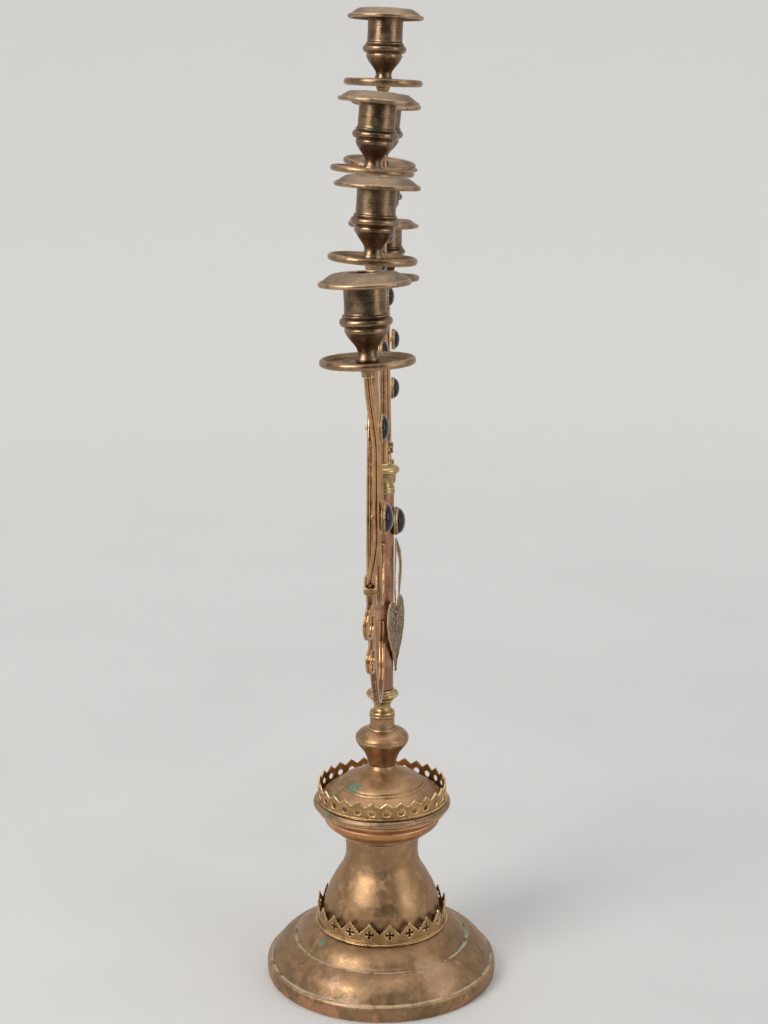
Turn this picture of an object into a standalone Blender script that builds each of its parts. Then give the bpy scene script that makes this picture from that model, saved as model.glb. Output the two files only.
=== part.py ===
"""Seven-light church candelabrum in brass and copper.

Lengths in the tables and outlines are millimetres; meshes are made in metres, +Z up.
The origin is on the stem's axis at the underside of the foot, and the front faces -Y.
The branches lie in the XZ plane, left at -X and right at +X.
"""
import math

import bmesh
import bpy
from mathutils import Matrix, Vector
from mathutils.geometry import intersect_point_line

MM = 0.001
GAP = 0.3                      # clearance between pieces that touch

# Base stack: radii and heights
FOOT_R = 88.9
CROWN_Z = 41.5                 # flat crown of the foot, which carries the bell
BELL_TOP_Z = 113.0
LIP_R = 52.9
LIP_TOP_Z = 141.6
NECK_Z = 169.0                 # top of the dome cover
KNOP_TOP_Z = 209.0
COLLAR_TOP_Z = 229.0
WALL = 1.3                     # thickness of the spun shells
BORE_R = 3.5                   # clearance hole for the tie rod
ROD_R = 3.0

# Stem
TUBE_R = 8.25
TUBE_BORE_R = 7.35
TUBE_TOP_Z = 381.0
TOP_COLLAR_Z = 404.0

# Reeded bands
BAND_WIDTH = 5.0               # along Y
BAND_THICKNESS = 2.8           # in the plane of the branches
SCROLL_WIDTH = 3.4
SCROLL_THICKNESS = 2.2

# Pierced galleries: ring radius, lowest and highest edge, number of bays, turn about the axis
FOOT_GALLERY = {"radius": 50.0, "low": 41.8, "shoulder": 51.2, "tip": 58.6, "bays": 20, "turn": 9.3}
LIP_GALLERY = {"radius": 49.2, "low": 141.9, "shoulder": 152.0, "tip": 155.8, "bays": 28, "turn": 6.2}

# Lights: reach, height of the pan's mid plane, set in Y, lean to the front and to the left
LIGHTS = {
    "top": (0.0, 680.0, 0.9, 2.0, 0.0),
    "left_inner": (-97.0, 621.0, 4.6, 5.0, 0.0),
    "left_middle": (-177.0, 569.0, 1.0, 3.7, 0.0),
    "left_outer": (-267.0, 517.0, 0.0, -2.3, 0.0),
    "right_inner": (97.0, 621.0, 6.9, 6.0, 6.0),
    "right_middle": (177.0, 569.0, 7.5, 2.0, 0.0),
    "right_outer": (267.0, 517.0, 6.1, 0.0, 0.0),
}
PAN_R = 28.3
BOBECHE_R = 27.0
SOCKET_R = 12.5
SOCKET_TOP = 49.5              # above the pan's mid plane
STUD_R = 2.8
FERRULE_R = 6.2
FERRULE_LOW = -3.8
FERRULE_TOP = -1.8

# Bow of each arm's upper part in Y, as the bands have been bent in use
BOWS = {
    "left_outer": -5.1,
    "left_middle": -1.0,
    "left_inner": 0.0,
    "right_outer": 0.0,
    "right_middle": 0.0,
    "right_inner": 0.0,
}

# Centre lines in the plane of the branches, as chains of cubic curves for the +X side
ARM_CURVES = {
    "outer": [[(10.4, 285), (10.4, 255), (25, 243), (52, 243)],
              [(52, 243), (112, 243), (170, 292), (205, 336)],
              [(205, 336), (248, 390), (262, 420), (267, 514.4)]],
    "middle": [[(10.4, 345), (10.4, 322), (20, 308), (40, 308)],
               [(40, 308), (74, 308), (94, 352), (116, 388)],
               [(116, 388), (152, 447), (174, 474), (177, 566.4)]],
    "inner": [[(10.4, 378), (10.4, 366), (14, 356), (24, 356)],
              [(24, 356), (44, 356), (54, 396), (66, 428)],
              [(66, 428), (84, 476), (97, 520), (97, 618.4)]],
}
LINK_CURVES = {
    "outer": [[(225.6, 370.4), (233, 384), (227, 430), (217, 469)],
              [(217, 469), (212, 490), (179.0, 488), (176.3, 518)]],
    "inner": [[(150.9, 456.2), (160.5, 487), (146, 532), (139, 565)],
              [(139, 565), (134.5, 586), (102.6, 577), (100.4, 605)]],
}
# Scroll on the outer side of each outer arm, between two places along the arm's curves
SCROLL_FROM = 1.93             # curve number plus the share of it
SCROLL_TO = 2.14
SCROLL_GAP = 0.6               # between the scroll and the arm
LOWER_VOLUTE_R = 10.4
UPPER_VOLUTE_R = 12.2
VOLUTE_EYE = 0.40              # radius at the eye as a share of the volute's
VOLUTE_TURNS = 1.3
VOLUTE_TWIST = math.radians(12.5)
CLIP_HEIGHT = 6.0              # binding clip round the outer arm and its link
CLIP_WALL = 1.1

# Jewels on the branches: place, diameter, stand-off, and the band they are riveted to
JEWELS = {
    "1": (255.0, 421.0, 18.0, 0.0, "arm", "outer"),
    "2": (217.0, 469.0, 16.5, 1.6, "link", "outer"),
    "3": (175.5, 510.0, 16.5, 0.0, "arm", "middle"),
    "4": (139.0, 565.0, 16.0, 0.0, "link", "inner"),
}
DOME_SHARE = 0.41              # height of a jewel over its diameter
CENTRE_JEWEL = (360.0, 20.0)   # height and diameter

# Leaf on the front of the stem
LEAF_TOP_Z = 300.0
LEAF_HEIGHT = 58.0
LEAF_WIDTH = 45.0
LEAF_Y = -11.4
LEAF_TURN = math.radians(-14)
LEAF_THICKNESS = 1.2

COLOURS = {
    "bronze": (0.30, 0.17, 0.085, 0.42),
    "copper": (0.40, 0.16, 0.075, 0.38),
    "brass": (0.52, 0.34, 0.13, 0.35),
    "band": (0.46, 0.25, 0.10, 0.33),
    "leaf": (0.22, 0.15, 0.10, 0.60),
    "steel": (0.28, 0.27, 0.26, 0.45),
    "stone": (0.012, 0.006, 0.010, 0.06),
}


def clear_scene():
    for old in list(bpy.data.objects):
        bpy.data.objects.remove(old, do_unlink=True)


def make_material(name, finish):
    red, green, blue, roughness = COLOURS[finish]
    material = bpy.data.materials.new(name)
    material.use_nodes = True
    shader = material.node_tree.nodes["Principled BSDF"]
    shader.inputs["Base Color"].default_value = (red, green, blue, 1.0)
    shader.inputs["Roughness"].default_value = roughness
    shader.inputs["Metallic"].default_value = 0.0 if finish == "stone" else 1.0
    return material


def add_object(name, bm, finish, placing=Matrix.Identity(4)):
    """Turn a bmesh in millimetres into a shaded object with its own material."""
    bmesh.ops.remove_doubles(bm, verts=bm.verts, dist=0.0001)
    bmesh.ops.recalc_face_normals(bm, faces=bm.faces)
    bmesh.ops.scale(bm, vec=(MM, MM, MM), verts=bm.verts)
    mesh = bpy.data.meshes.new(name)
    bm.to_mesh(mesh)
    bm.free()
    mesh.shade_smooth()
    mesh.set_sharp_from_angle(angle=math.radians(35))
    mesh.materials.append(make_material(name + "_finish", finish))
    made = bpy.data.objects.new(name, mesh)
    made.matrix_world = placing
    bpy.context.scene.collection.objects.link(made)
    return made


def turned_mesh(outline, steps):
    """Spin a closed outline of (radius, height) points about Z."""
    bm = bmesh.new()
    verts = [bm.verts.new((radius, 0.0, height)) for radius, height in outline]
    edges = [bm.edges.new((verts[i - 1], verts[i])) for i in range(len(verts))]
    bmesh.ops.spin(bm, geom=verts + edges, cent=(0, 0, 0), axis=(0, 0, 1),
                   angle=2 * math.pi, steps=steps, use_merge=True)
    bmesh.ops.remove_doubles(bm, verts=bm.verts, dist=0.0001)
    bmesh.ops.dissolve_degenerate(bm, edges=bm.edges, dist=0.0001)
    return bm


def turned(name, outline, steps, finish, placing=Matrix.Identity(4)):
    return add_object(name, turned_mesh(outline, steps), finish, placing)


def swept_mesh(path, width, thickness):
    """Sweep a flat section along a path; its width lies along Y."""
    bm = bmesh.new()
    rings = []
    for index, point in enumerate(path):
        before = path[max(index - 1, 0)]
        after = path[min(index + 1, len(path) - 1)]
        tangent = (after - before).normalized()
        across = tangent.cross(Vector((0, 1, 0))).normalized()
        side = across.cross(tangent).normalized()
        corners = ((-1, -1), (1, -1), (1, 1), (-1, 1))
        rings.append([bm.verts.new(point + across * (a * thickness / 2) + side * (s * width / 2))
                      for a, s in corners])
    for lower, upper in zip(rings, rings[1:]):
        for corner in range(4):
            following = (corner + 1) % 4
            bm.faces.new((lower[corner], lower[following], upper[following], upper[corner]))
    bm.faces.new(rings[0][::-1])
    bm.faces.new(rings[-1])
    return bm


def cubic(points, t):
    weights = ((1 - t) ** 3, 3 * t * (1 - t) ** 2, 3 * t * t * (1 - t), t ** 3)
    return (sum(w * p[0] for w, p in zip(weights, points)),
            sum(w * p[1] for w, p in zip(weights, points)))


def chain(curves, steps):
    points = [cubic(curves[0], 0.0)]
    for curve in curves:
        points += [cubic(curve, (i + 1) / steps) for i in range(steps)]
    return points


def eased(t):
    t = min(max(t, 0.0), 1.0)
    return t * t * (3 - 2 * t)


def arm_path(side, arm, steps=8):
    """Centre line of an arm in space, with the set and bow of its upper part."""
    sign = -1 if side == "left" else 1
    light = side + "_" + arm
    flat = chain(ARM_CURVES[arm], steps)
    sway = LIGHTS[light][2]
    path = []
    for index, (x, z) in enumerate(flat):
        t = index / (len(flat) - 1)
        rise = 3 * t - 2
        y = sway * eased((t - 0.45) / 0.55)
        y += BOWS[light] * eased((rise - 0.2) / 0.3) * eased((1 - rise) / 0.22)
        path.append(Vector((sign * x, y, z)))
    return path


def nearest_on(path, place):
    """Nearest point of a path to a place, with the path's direction there."""
    best = None
    for start, end in zip(path, path[1:]):
        point, along = intersect_point_line(place, start, end)
        point = start.lerp(end, min(max(along, 0.0), 1.0))
        if best is None or (point - place).length < (best[0] - place).length:
            best = (point, (end - start).normalized())
    return best


def y_on(path, x, z, reach=0.0):
    """Y of a path beside a place in the branches' plane, at its frontmost within the reach."""
    heights = (z - reach, z - reach / 2, z, z + reach / 2, z + reach)
    return min(nearest_on(path, Vector((x, 0.0, height)))[0].y for height in heights)


def link_path(side, link, steps=7):
    """Centre line of a link, which shares the Y of the two arms that it joins."""
    sign = -1 if side == "left" else 1
    flat = chain(LINK_CURVES[link], steps)
    outer_arm, inner_arm = ("outer", "middle") if link == "outer" else ("middle", "inner")
    first = y_on(arm_path(side, outer_arm), sign * flat[0][0], flat[0][1])
    last = y_on(arm_path(side, inner_arm), sign * flat[-1][0], flat[-1][1])
    path = []
    for index, (x, z) in enumerate(flat):
        t = index / (len(flat) - 1)
        path.append(Vector((sign * x, first + (last - first) * eased(t), z)))
    return path


def arm_place(place):
    """Point of an outer arm's curves and its unit direction there, as (x, z) vectors."""
    curve = ARM_CURVES["outer"][int(place)]
    share = place - int(place)
    point = Vector(cubic(curve, share))
    return point, (Vector(cubic(curve, share + 0.01)) - point).normalized()


def volute(edge, along, out, radius, steps):
    """Spiral that leaves its edge point in the given direction and curls outward."""
    points = []
    for index in range(steps + 1):
        t = index / steps
        angle = 2 * math.pi * VOLUTE_TURNS * t
        reach = radius * (1 + (VOLUTE_EYE - 1) * t)
        offset = along * (reach * math.sin(angle)) - out * (reach * math.cos(angle))
        place = edge + out * radius + offset
        points.append((place.x, math.tan(VOLUTE_TWIST) * eased(3 * t) * offset.x, place.y))
    return points


def scroll_path(side, steps=15):
    """C-scroll: lower volute, a run beside the outer arm, upper volute."""
    sign = -1 if side == "left" else 1
    apart = (BAND_THICKNESS + SCROLL_THICKNESS) / 2 + SCROLL_GAP
    run = []
    for index in range(7):
        point, along = arm_place(SCROLL_FROM + (SCROLL_TO - SCROLL_FROM) * index / 6)
        out = Vector((along.y, -along.x))
        run.append((point + out * apart, along, out))
    lower = volute(run[0][0], -run[0][1], run[0][2], LOWER_VOLUTE_R, steps)
    upper = volute(run[-1][0], run[-1][1], run[-1][2], UPPER_VOLUTE_R, steps)
    middle = [(point.x, 0.0, point.y) for point, along, out in run[1:-1]]
    return [Vector((sign * x, y, z)) for x, y, z in lower[::-1] + middle + upper]


def light_frame(light):
    """World matrix of a light: origin on the pan's mid plane, +Z up its leaning axis."""
    x, z, y, lean, roll = LIGHTS[light]
    place = Matrix.Translation(Vector((x, y, z)) * MM)
    return (place @ Matrix.Rotation(math.radians(-roll), 4, "Y")
            @ Matrix.Rotation(math.radians(lean), 4, "X"))


def join_into(target, other):
    """Boolean union; the joined piece stays as a hidden guide."""
    union = target.modifiers.new("joined", "BOOLEAN")
    union.operation = "UNION"
    union.object = other
    other.hide_render = True
    other.display_type = "WIRE"


def ferrule_outline():
    """Ferrule under the pan with the stud that passes up through pan and cup."""
    return [(0, FERRULE_LOW), (FERRULE_R - 1.0, FERRULE_LOW), (FERRULE_R, FERRULE_TOP - 0.4),
            (FERRULE_R - 0.4, FERRULE_TOP), (STUD_R, FERRULE_TOP), (STUD_R, 14.0), (0, 14.0)]


def make_foot():
    outer = [(BORE_R, CROWN_Z), (49.8, CROWN_Z), (52.5, 40.6), (57.5, 38.2), (62.0, 34.2), (64.6, 30.2),
             (66.2, 28.6), (68.5, 28.2), (75.0, 25.6), (80.5, 20.8), (84.0, 14.6),
             (86.6, 12.6), (88.4, 11.4), (FOOT_R, 6.5), (88.3, 0.0)]
    inner = [(84.2, 0.0), (84.2, 9.0), (81.0, 16.0), (74.0, 23.4), (64.0, 27.2), (60.4, 33.0),
             (52.0, 38.6), (48.0, CROWN_Z - WALL), (BORE_R, CROWN_Z - WALL)]
    return turned("foot", outer + inner, 26, "bronze")


def make_bell():
    outer = [(BORE_R, BELL_TOP_Z), (28.6, BELL_TOP_Z), (27.7, 98.0), (29.4, 89.0), (35.0, 80.5),
             (41.7, 68.0), (44.6, 58.0), (45.0, 50.0), (43.6, CROWN_Z + GAP)]
    inner = [(42.2, CROWN_Z + GAP), (43.6, 51.0), (40.4, 67.4), (33.9, 79.6), (28.2, 88.4),
             (26.4, 98.0), (27.2, BELL_TOP_Z - WALL), (BORE_R, BELL_TOP_Z - WALL)]
    return turned("bell", outer + inner, 20, "bronze")


def make_lip_shell():
    """The lip: a spun pan closed by its rolled top, open towards the bell at the bore."""
    outer = [(BORE_R, LIP_TOP_Z), (49.6, LIP_TOP_Z), (51.9, 141.0), (LIP_R, 138.8), (52.2, 136.4),
             (50.4, 135.8), (50.4, 135.0), (48.6, 131.8), (45.6, 129.8), (44.6, 129.3), (44.9, 128.4),
             (44.0, 124.6), (41.0, 121.2), (37.0, 120.2), (35.6, 116.4), (30.2, BELL_TOP_Z + GAP),
             (26.0, BELL_TOP_Z + GAP)]
    inner = [(26.0, BELL_TOP_Z + 1.6), (29.8, 115.6), (34.4, 121.4), (40.0, 122.8), (42.2, 125.4),
             (43.0, 130.0), (47.0, 132.8), (48.8, 136.0), (51.2, 138.6), (49.0, LIP_TOP_Z - WALL),
             (BORE_R, LIP_TOP_Z - WALL)]
    return turned("lip", outer + inner, 22, "copper")


def make_dome():
    low = LIP_TOP_Z + GAP
    outer = [(BORE_R, NECK_Z), (10.8, NECK_Z), (12.0, 166.6), (14.5, 164.2), (22.0, 159.6),
             (31.2, 155.0), (33.2, 152.6), (40.5, 149.0), (46.0, 144.8), (47.2, low)]
    inner = [(45.8, low), (44.9, 144.0), (39.8, 147.8), (32.0, 151.4), (30.4, 153.9),
             (21.4, 158.4), (12.5, 164.0), (BORE_R, NECK_Z - 2.0)]
    return turned("dome", outer + inner, 20, "bronze")


def make_knop():
    outer = [(BORE_R, KNOP_TOP_Z), (9.9, KNOP_TOP_Z), (9.5, 206.8), (9.5, 200.0), (10.7, 197.8),
             (17.2, 195.0), (20.1, 191.8), (20.3, 188.0), (17.4, 184.0), (14.0, 179.6),
             (12.1, 175.6), (10.7, 171.6), (10.7, NECK_Z + GAP), (BORE_R, NECK_Z + GAP)]
    return turned("knop", outer, 16, "bronze")


def make_neck_collar():
    outline = [(BORE_R, 240.0), (7.0, 240.0), (7.0, COLLAR_TOP_Z), (9.3, COLLAR_TOP_Z), (11.4, 226.8),
               (12.4, 225.0), (11.2, 223.0), (8.0, 220.0), (6.2, 215.6), (6.5, 213.0),
               (9.4, 210.8), (9.6, KNOP_TOP_Z + GAP), (BORE_R, KNOP_TOP_Z + GAP)]
    return turned("neck_collar", outline, 14, "brass")


def make_tube():
    outline = [(TUBE_BORE_R, TUBE_TOP_Z), (TUBE_R, TUBE_TOP_Z),
               (TUBE_R, COLLAR_TOP_Z + GAP), (TUBE_BORE_R, COLLAR_TOP_Z + GAP)]
    return turned("stem_tube", outline, 16, "copper")


def make_top_collar():
    low = TUBE_TOP_Z + GAP
    outline = [(0, TOP_COLLAR_Z), (5.5, TOP_COLLAR_Z), (7.0, 401.8), (11.5, 401.2), (12.3, 399.0),
               (11.0, 396.8), (8.0, 394.6), (7.4, 389.0), (8.6, 384.0), (8.7, low), (7.0, low),
               (7.0, 370.0), (0, 370.0)]
    return turned("top_collar", outline, 14, "brass")


def make_tie():
    """Rod, washer and nut that clamp the base stack from inside."""
    turned("tie_rod", [(0, 236.0), (ROD_R, 236.0), (ROD_R, 26.0), (0, 26.0)], 8, "steel")
    seat = CROWN_Z - WALL - GAP
    turned("tie_washer", [(BORE_R, seat), (18.0, seat), (18.0, seat - 2.5), (BORE_R, seat - 2.5)],
           12, "steel")
    top = seat - 2.5 - GAP
    nut = [(BORE_R, top), (7.5, top), (7.5, top - 6.0), (BORE_R, top - 6.0)]
    turned("tie_nut", nut, 6, "steel")


def make_gallery(name, spec, hole, bead_r, finish):
    """Pierced ring: every bay has a pointed top and one hole, over a beaded foot."""
    bays = spec["bays"]
    low, shoulder, tip = spec["low"], spec["shoulder"], spec["tip"]
    outer_r, inner_r = spec["radius"], spec["radius"] - 1.0
    pitch = 2 * math.pi / bays
    turned_by = math.radians(spec["turn"])
    centre, half_width, half_height = hole
    bm = bmesh.new()

    def vert(radius, turn, height):
        return bm.verts.new((radius * math.cos(turn), radius * math.sin(turn), height))

    for bay in range(bays):
        middle = turned_by + bay * pitch
        edge = [(-0.5, low), (0.5, low), (0.5, shoulder), (0.0, tip), (-0.5, shoulder)]
        eye = [(-half_width, centre - half_height), (half_width, centre - half_height),
               (half_width, centre + half_height * 0.4), (0.0, centre + half_height),
               (-half_width, centre + half_height * 0.4)]
        rings = {}
        for key, radius in (("out", outer_r), ("in", inner_r)):
            foot_out = outer_r + bead_r
            rings[key] = [vert(foot_out if key == "out" and z == low else radius,
                               middle + u * pitch, z) for u, z in edge]
            rings[key + "_eye"] = [vert(radius, middle + u * pitch, z) for u, z in eye]
        for i in range(5):
            j = (i + 1) % 5
            bm.faces.new((rings["out"][i], rings["out"][j], rings["out_eye"][j], rings["out_eye"][i]))
            bm.faces.new((rings["in"][j], rings["in"][i], rings["in_eye"][i], rings["in_eye"][j]))
            bm.faces.new((rings["out_eye"][i], rings["out_eye"][j], rings["in_eye"][j],
                          rings["in_eye"][i]))
        for i in (0, 2, 3):
            j = i + 1
            bm.faces.new((rings["out"][j], rings["out"][i], rings["in"][i], rings["in"][j]))
    return add_object(name, bm, finish)


def make_arm(side, arm):
    light = side + "_" + arm
    band = add_object("arm_band", swept_mesh(arm_path(side, arm), BAND_WIDTH, BAND_THICKNESS), "band")
    band.name = arm + "_arm_" + side
    ferrule = turned("guide_ferrule_" + light, ferrule_outline(), 8, "brass", light_frame(light))
    join_into(band, ferrule)


def make_upper_stem():
    x, z, y = LIGHTS["top"][:3]
    path = [Vector((0, y * eased(t), TOP_COLLAR_Z + GAP + t * (z - 2.6 - TOP_COLLAR_Z - GAP)))
            for t in (0.0, 0.25, 0.5, 0.75, 1.0)]
    band = add_object("upper_stem", swept_mesh(path, BAND_WIDTH, BAND_THICKNESS), "band")
    ferrule = turned("guide_ferrule_top", ferrule_outline(), 8, "brass", light_frame("top"))
    join_into(band, ferrule)


def make_clip(side):
    """Flat band bent round the outer arm and its link, as a closed ring."""
    arm, link = arm_path(side, "outer"), link_path(side, "outer")
    beside, along = nearest_on(arm, link[0])
    top = link[0] + along * (CLIP_HEIGHT + 1.0)
    top_link, top_arm = nearest_on(link, top)[0], nearest_on(arm, top)[0]
    centre = (link[0] + beside + top_link + top_arm) / 4
    inner_x = (top_link - top_arm).length / 2 + BAND_THICKNESS / 2 + 0.9
    inner_y = BAND_WIDTH / 2 + 0.9
    bm = bmesh.new()
    corners = ((-1, -1), (1, -1), (1, 1), (-1, 1))
    rings = []
    for wall in (0.0, CLIP_WALL):
        for z in (-CLIP_HEIGHT / 2, CLIP_HEIGHT / 2):
            rings.append([bm.verts.new((cx * (inner_x + wall), cy * (inner_y + wall), z))
                          for cx, cy in corners])
    low_in, top_in, low_out, top_out = rings
    for i in range(4):
        j = (i + 1) % 4
        bm.faces.new((low_out[i], low_out[j], top_out[j], top_out[i]))
        bm.faces.new((low_in[j], low_in[i], top_in[i], top_in[j]))
        bm.faces.new((low_in[i], low_in[j], low_out[j], low_out[i]))
        bm.faces.new((top_in[j], top_in[i], top_out[i], top_out[j]))
    lean = Matrix.Rotation(math.atan2(along.x, along.z), 4, "Y")
    add_object("clip_" + side, bm, "brass", Matrix.Translation(centre * MM) @ lean)


def make_light(light):
    frame = light_frame(light)
    pan = [(BORE_R, -0.3), (22.8, -0.3), (24.2, 1.8), (26.2, 2.5), (PAN_R, 0.0),
           (26.2, -2.5), (23.6, -1.3), (BORE_R, -1.3)]
    turned("pan_" + light, pan, 16, "bronze", frame)
    cup = [(11.7, SOCKET_TOP), (SOCKET_R, SOCKET_TOP), (SOCKET_R, 28.0), (15.6, 24.6),
           (14.4, 20.4), (12.2, 18.0), (5.6, 8.0), (5.5, 3.0), (7.0, 0.0), (3.2, 0.0),
           (3.2, 16.0), (11.7, 22.0)]
    turned("cup_" + light, cup, 12, "bronze", frame)
    bobeche = [(10.2, 51.0), (19.5, 51.0), (BOBECHE_R, 45.6), (25.6, 43.4), (18.8, 49.8),
               (10.9, 49.8), (10.9, 36.0), (10.2, 36.0)]
    turned("bobeche_" + light, bobeche, 16, "bronze", frame)


def make_jewel(name, place, diameter, stand_off=0.0):
    """Glass dome in a brass setting, on a post if it stands off; it faces -Y."""
    radius = diameter / 2
    dome_height = DOME_SHARE * diameter
    post = [(0, -stand_off), (1.6, -stand_off), (1.6, 0)] if stand_off else [(0, 0)]
    outline = post + [(radius + 0.8, 0), (radius + 0.8, 2.2), (radius, 2.6)]
    outline += [(radius * math.cos(a), 2.6 + (dome_height - 2.6) * math.sin(a))
                for a in (math.radians(32), math.radians(62))]
    outline.append((0, dome_height))
    face_front = Matrix.Rotation(math.radians(90), 4, "X")
    return turned(name, outline, 10, "stone", Matrix.Translation(place * MM) @ face_front)


def make_jewels():
    height, diameter = CENTRE_JEWEL
    make_jewel("jewel_centre", Vector((0, -(TUBE_R + GAP), height)), diameter)
    for side in ("left", "right"):
        sign = -1 if side == "left" else 1
        for number, (x, z, diameter, stand_off, kind, band) in JEWELS.items():
            path = arm_path(side, band) if kind == "arm" else link_path(side, band)
            y = y_on(path, sign * x, z, diameter / 2) - BAND_WIDTH / 2 - GAP - stand_off
            make_jewel("jewel_" + side + "_" + number, Vector((sign * x, y, z)), diameter, stand_off)


def make_leaf():
    """Vine leaf as a heart curve with its tip down, turned a little to the left."""
    bm = bmesh.new()
    count = 28
    front = []
    for index in range(count):
        t = 2 * math.pi * index / count
        across = 16 * math.sin(t) ** 3
        up = 13 * math.cos(t) - 5 * math.cos(2 * t) - 2 * math.cos(3 * t) - math.cos(4 * t)
        front.append(bm.verts.new((across * LEAF_WIDTH / 32, 0.0, (up - 12) * LEAF_HEIGHT / 29)))
    face = bm.faces.new(front)
    back = bmesh.ops.extrude_face_region(bm, geom=[face])["geom"]
    moved = [item for item in back if isinstance(item, bmesh.types.BMVert)]
    bmesh.ops.translate(bm, vec=(0, LEAF_THICKNESS, 0), verts=moved)
    bmesh.ops.triangulate(bm, faces=bm.faces)
    place = Matrix.Translation(Vector((0, LEAF_Y, LEAF_TOP_Z)) * MM)
    add_object("leaf", bm, "leaf", place @ Matrix.Rotation(LEAF_TURN, 4, "Z"))


def make_leaf_stalk():
    """Two wires and a bud that hang from one root in front of the tube."""
    bud = [Vector((1.0, -9.6, 347)), Vector((1.6, -12.2, 336)), Vector((2.0, -14.2, 322)),
           Vector((2.0, -14.4, 309)), Vector((1.6, -13.9, 299))]
    wire = [Vector((0.4, -9.6, 347)), Vector((-3.6, -9.4, 330)), Vector((-7.4, -8.4, 312)),
            Vector((-9.8, -10.6, 296))]
    stalk = add_object("leaf_stalk", swept_mesh(bud, 1.2, 5.0), "brass")
    guide = add_object("guide_wire", swept_mesh(wire, 1.6, 1.6), "brass")
    join_into(stalk, guide)


def build():
    clear_scene()
    make_foot()
    make_gallery("foot_gallery", FOOT_GALLERY, (49.4, 0.223, 3.3), 1.0, "brass")
    make_bell()
    make_lip_shell()
    make_gallery("lip_gallery", LIP_GALLERY, (147.6, 0.277, 2.4), 0.9, "brass")
    make_dome()
    make_knop()
    make_neck_collar()
    make_tie()
    make_tube()
    make_top_collar()
    make_upper_stem()
    for side in ("left", "right"):
        for arm in ARM_CURVES:
            make_arm(side, arm)
        for link in LINK_CURVES:
            band = swept_mesh(link_path(side, link), BAND_WIDTH, BAND_THICKNESS)
            add_object(link + "_link_" + side, band, "band")
        scroll = swept_mesh(scroll_path(side), SCROLL_WIDTH, SCROLL_THICKNESS)
        add_object("scroll_" + side, scroll, "band")
        make_clip(side)
    for light in LIGHTS:
        make_light(light)
    make_jewels()
    make_leaf()
    make_leaf_stalk()


build()
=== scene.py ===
"""Looks of the seven-light candelabrum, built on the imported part.

Lengths in the tables are millimetres; meshes are in metres, +Z up, front at -Y.
"""

import math

import bmesh
import bpy
import numpy as np
from mathutils import Matrix, Vector, noise
from mathutils.geometry import delaunay_2d_cdt, intersect_point_line


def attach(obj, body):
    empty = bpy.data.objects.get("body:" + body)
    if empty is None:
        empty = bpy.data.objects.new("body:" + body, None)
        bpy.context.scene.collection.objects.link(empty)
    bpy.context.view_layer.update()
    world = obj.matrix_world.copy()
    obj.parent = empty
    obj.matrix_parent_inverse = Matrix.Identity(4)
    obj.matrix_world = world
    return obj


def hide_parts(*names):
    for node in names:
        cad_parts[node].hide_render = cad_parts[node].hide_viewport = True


MM = 0.001
TURN = 2 * math.pi

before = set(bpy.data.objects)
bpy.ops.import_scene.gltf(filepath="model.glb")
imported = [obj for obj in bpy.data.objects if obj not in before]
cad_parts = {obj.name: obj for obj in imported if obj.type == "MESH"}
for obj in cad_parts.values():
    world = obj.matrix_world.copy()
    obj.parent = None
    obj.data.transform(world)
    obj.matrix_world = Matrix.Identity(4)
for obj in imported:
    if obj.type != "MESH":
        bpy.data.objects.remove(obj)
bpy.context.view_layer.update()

# ---------------------------------------------------------------- sizes, as in the part

# place x, height of the pan, place y, lean about X and roll about Y in degrees
LIGHTS = {
    "top": (0.0, 680.0, 0.9, 2.0, 0.0),
    "left_inner": (-97.0, 621.0, 4.6, 5.0, 0.0),
    "left_middle": (-177.0, 569.0, 1.0, 3.7, 0.0),
    "left_outer": (-267.0, 517.0, 0.0, -2.3, 0.0),
    "right_inner": (97.0, 621.0, 6.9, 6.0, 6.0),
    "right_middle": (177.0, 569.0, 7.5, 2.0, 0.0),
    "right_outer": (267.0, 517.0, 6.1, 0.0, 0.0),
}
# bow towards the front under a light
BOWS = {"left_outer": -5.1, "left_middle": -1.0}
# cubic curves of (x, z) for each arm, from the stem outward
ARM_CURVES = {
    "outer": [[(10.4, 285), (10.4, 255), (25, 243), (52, 243)],
              [(52, 243), (112, 243), (170, 292), (205, 336)],
              [(205, 336), (248, 390), (262, 420), (267, 514.4)]],
    "middle": [[(10.4, 345), (10.4, 322), (20, 308), (40, 308)],
               [(40, 308), (74, 308), (94, 352), (116, 388)],
               [(116, 388), (152, 447), (174, 474), (177, 566.4)]],
    "inner": [[(10.4, 378), (10.4, 366), (14, 356), (24, 356)],
              [(24, 356), (44, 356), (54, 396), (66, 428)],
              [(66, 428), (84, 476), (97, 520), (97, 618.4)]],
}
# links from one arm to the next
LINK_CURVES = {
    "outer": [[(225.6, 370.4), (233, 384), (227, 430), (217, 469)],
              [(217, 469), (212, 490), (179.0, 488), (176.3, 518)]],
    "inner": [[(150.9, 456.2), (160.5, 487), (146, 532), (139, 565)],
              [(139, 565), (134.5, 586), (102.6, 577), (100.4, 605)]],
}
SCROLL_FROM = 1.93
SCROLL_TO = 2.14
SCROLL_GAP = 0.6
SCROLL_WIDTH = 3.4
SCROLL_THICKNESS = 2.2
LOWER_VOLUTE_R = 10.4
UPPER_VOLUTE_R = 12.2
VOLUTE_EYE = 0.40
VOLUTE_TURNS = 1.3
VOLUTE_TWIST = math.radians(12.5)
CLIP_HEIGHT = 6.0
SIGN = {"left": -1, "right": 1}
BAND_WIDTH = 5.0
BAND_THICKNESS = 2.8
TUBE_R = 8.25
GAP = 0.3                      # clearance between pieces that touch
GALLERY_WALL = 1.0
RING_STEPS = 160
FOOT_GALLERY = {"radius": 50.0, "low": 41.8, "notch": 50.9, "bays": 20, "turn": 9.3}
LIP_GALLERY = {"radius": 49.2, "low": 141.9, "notch": 152.0, "bays": 28, "turn": 6.2}
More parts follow.
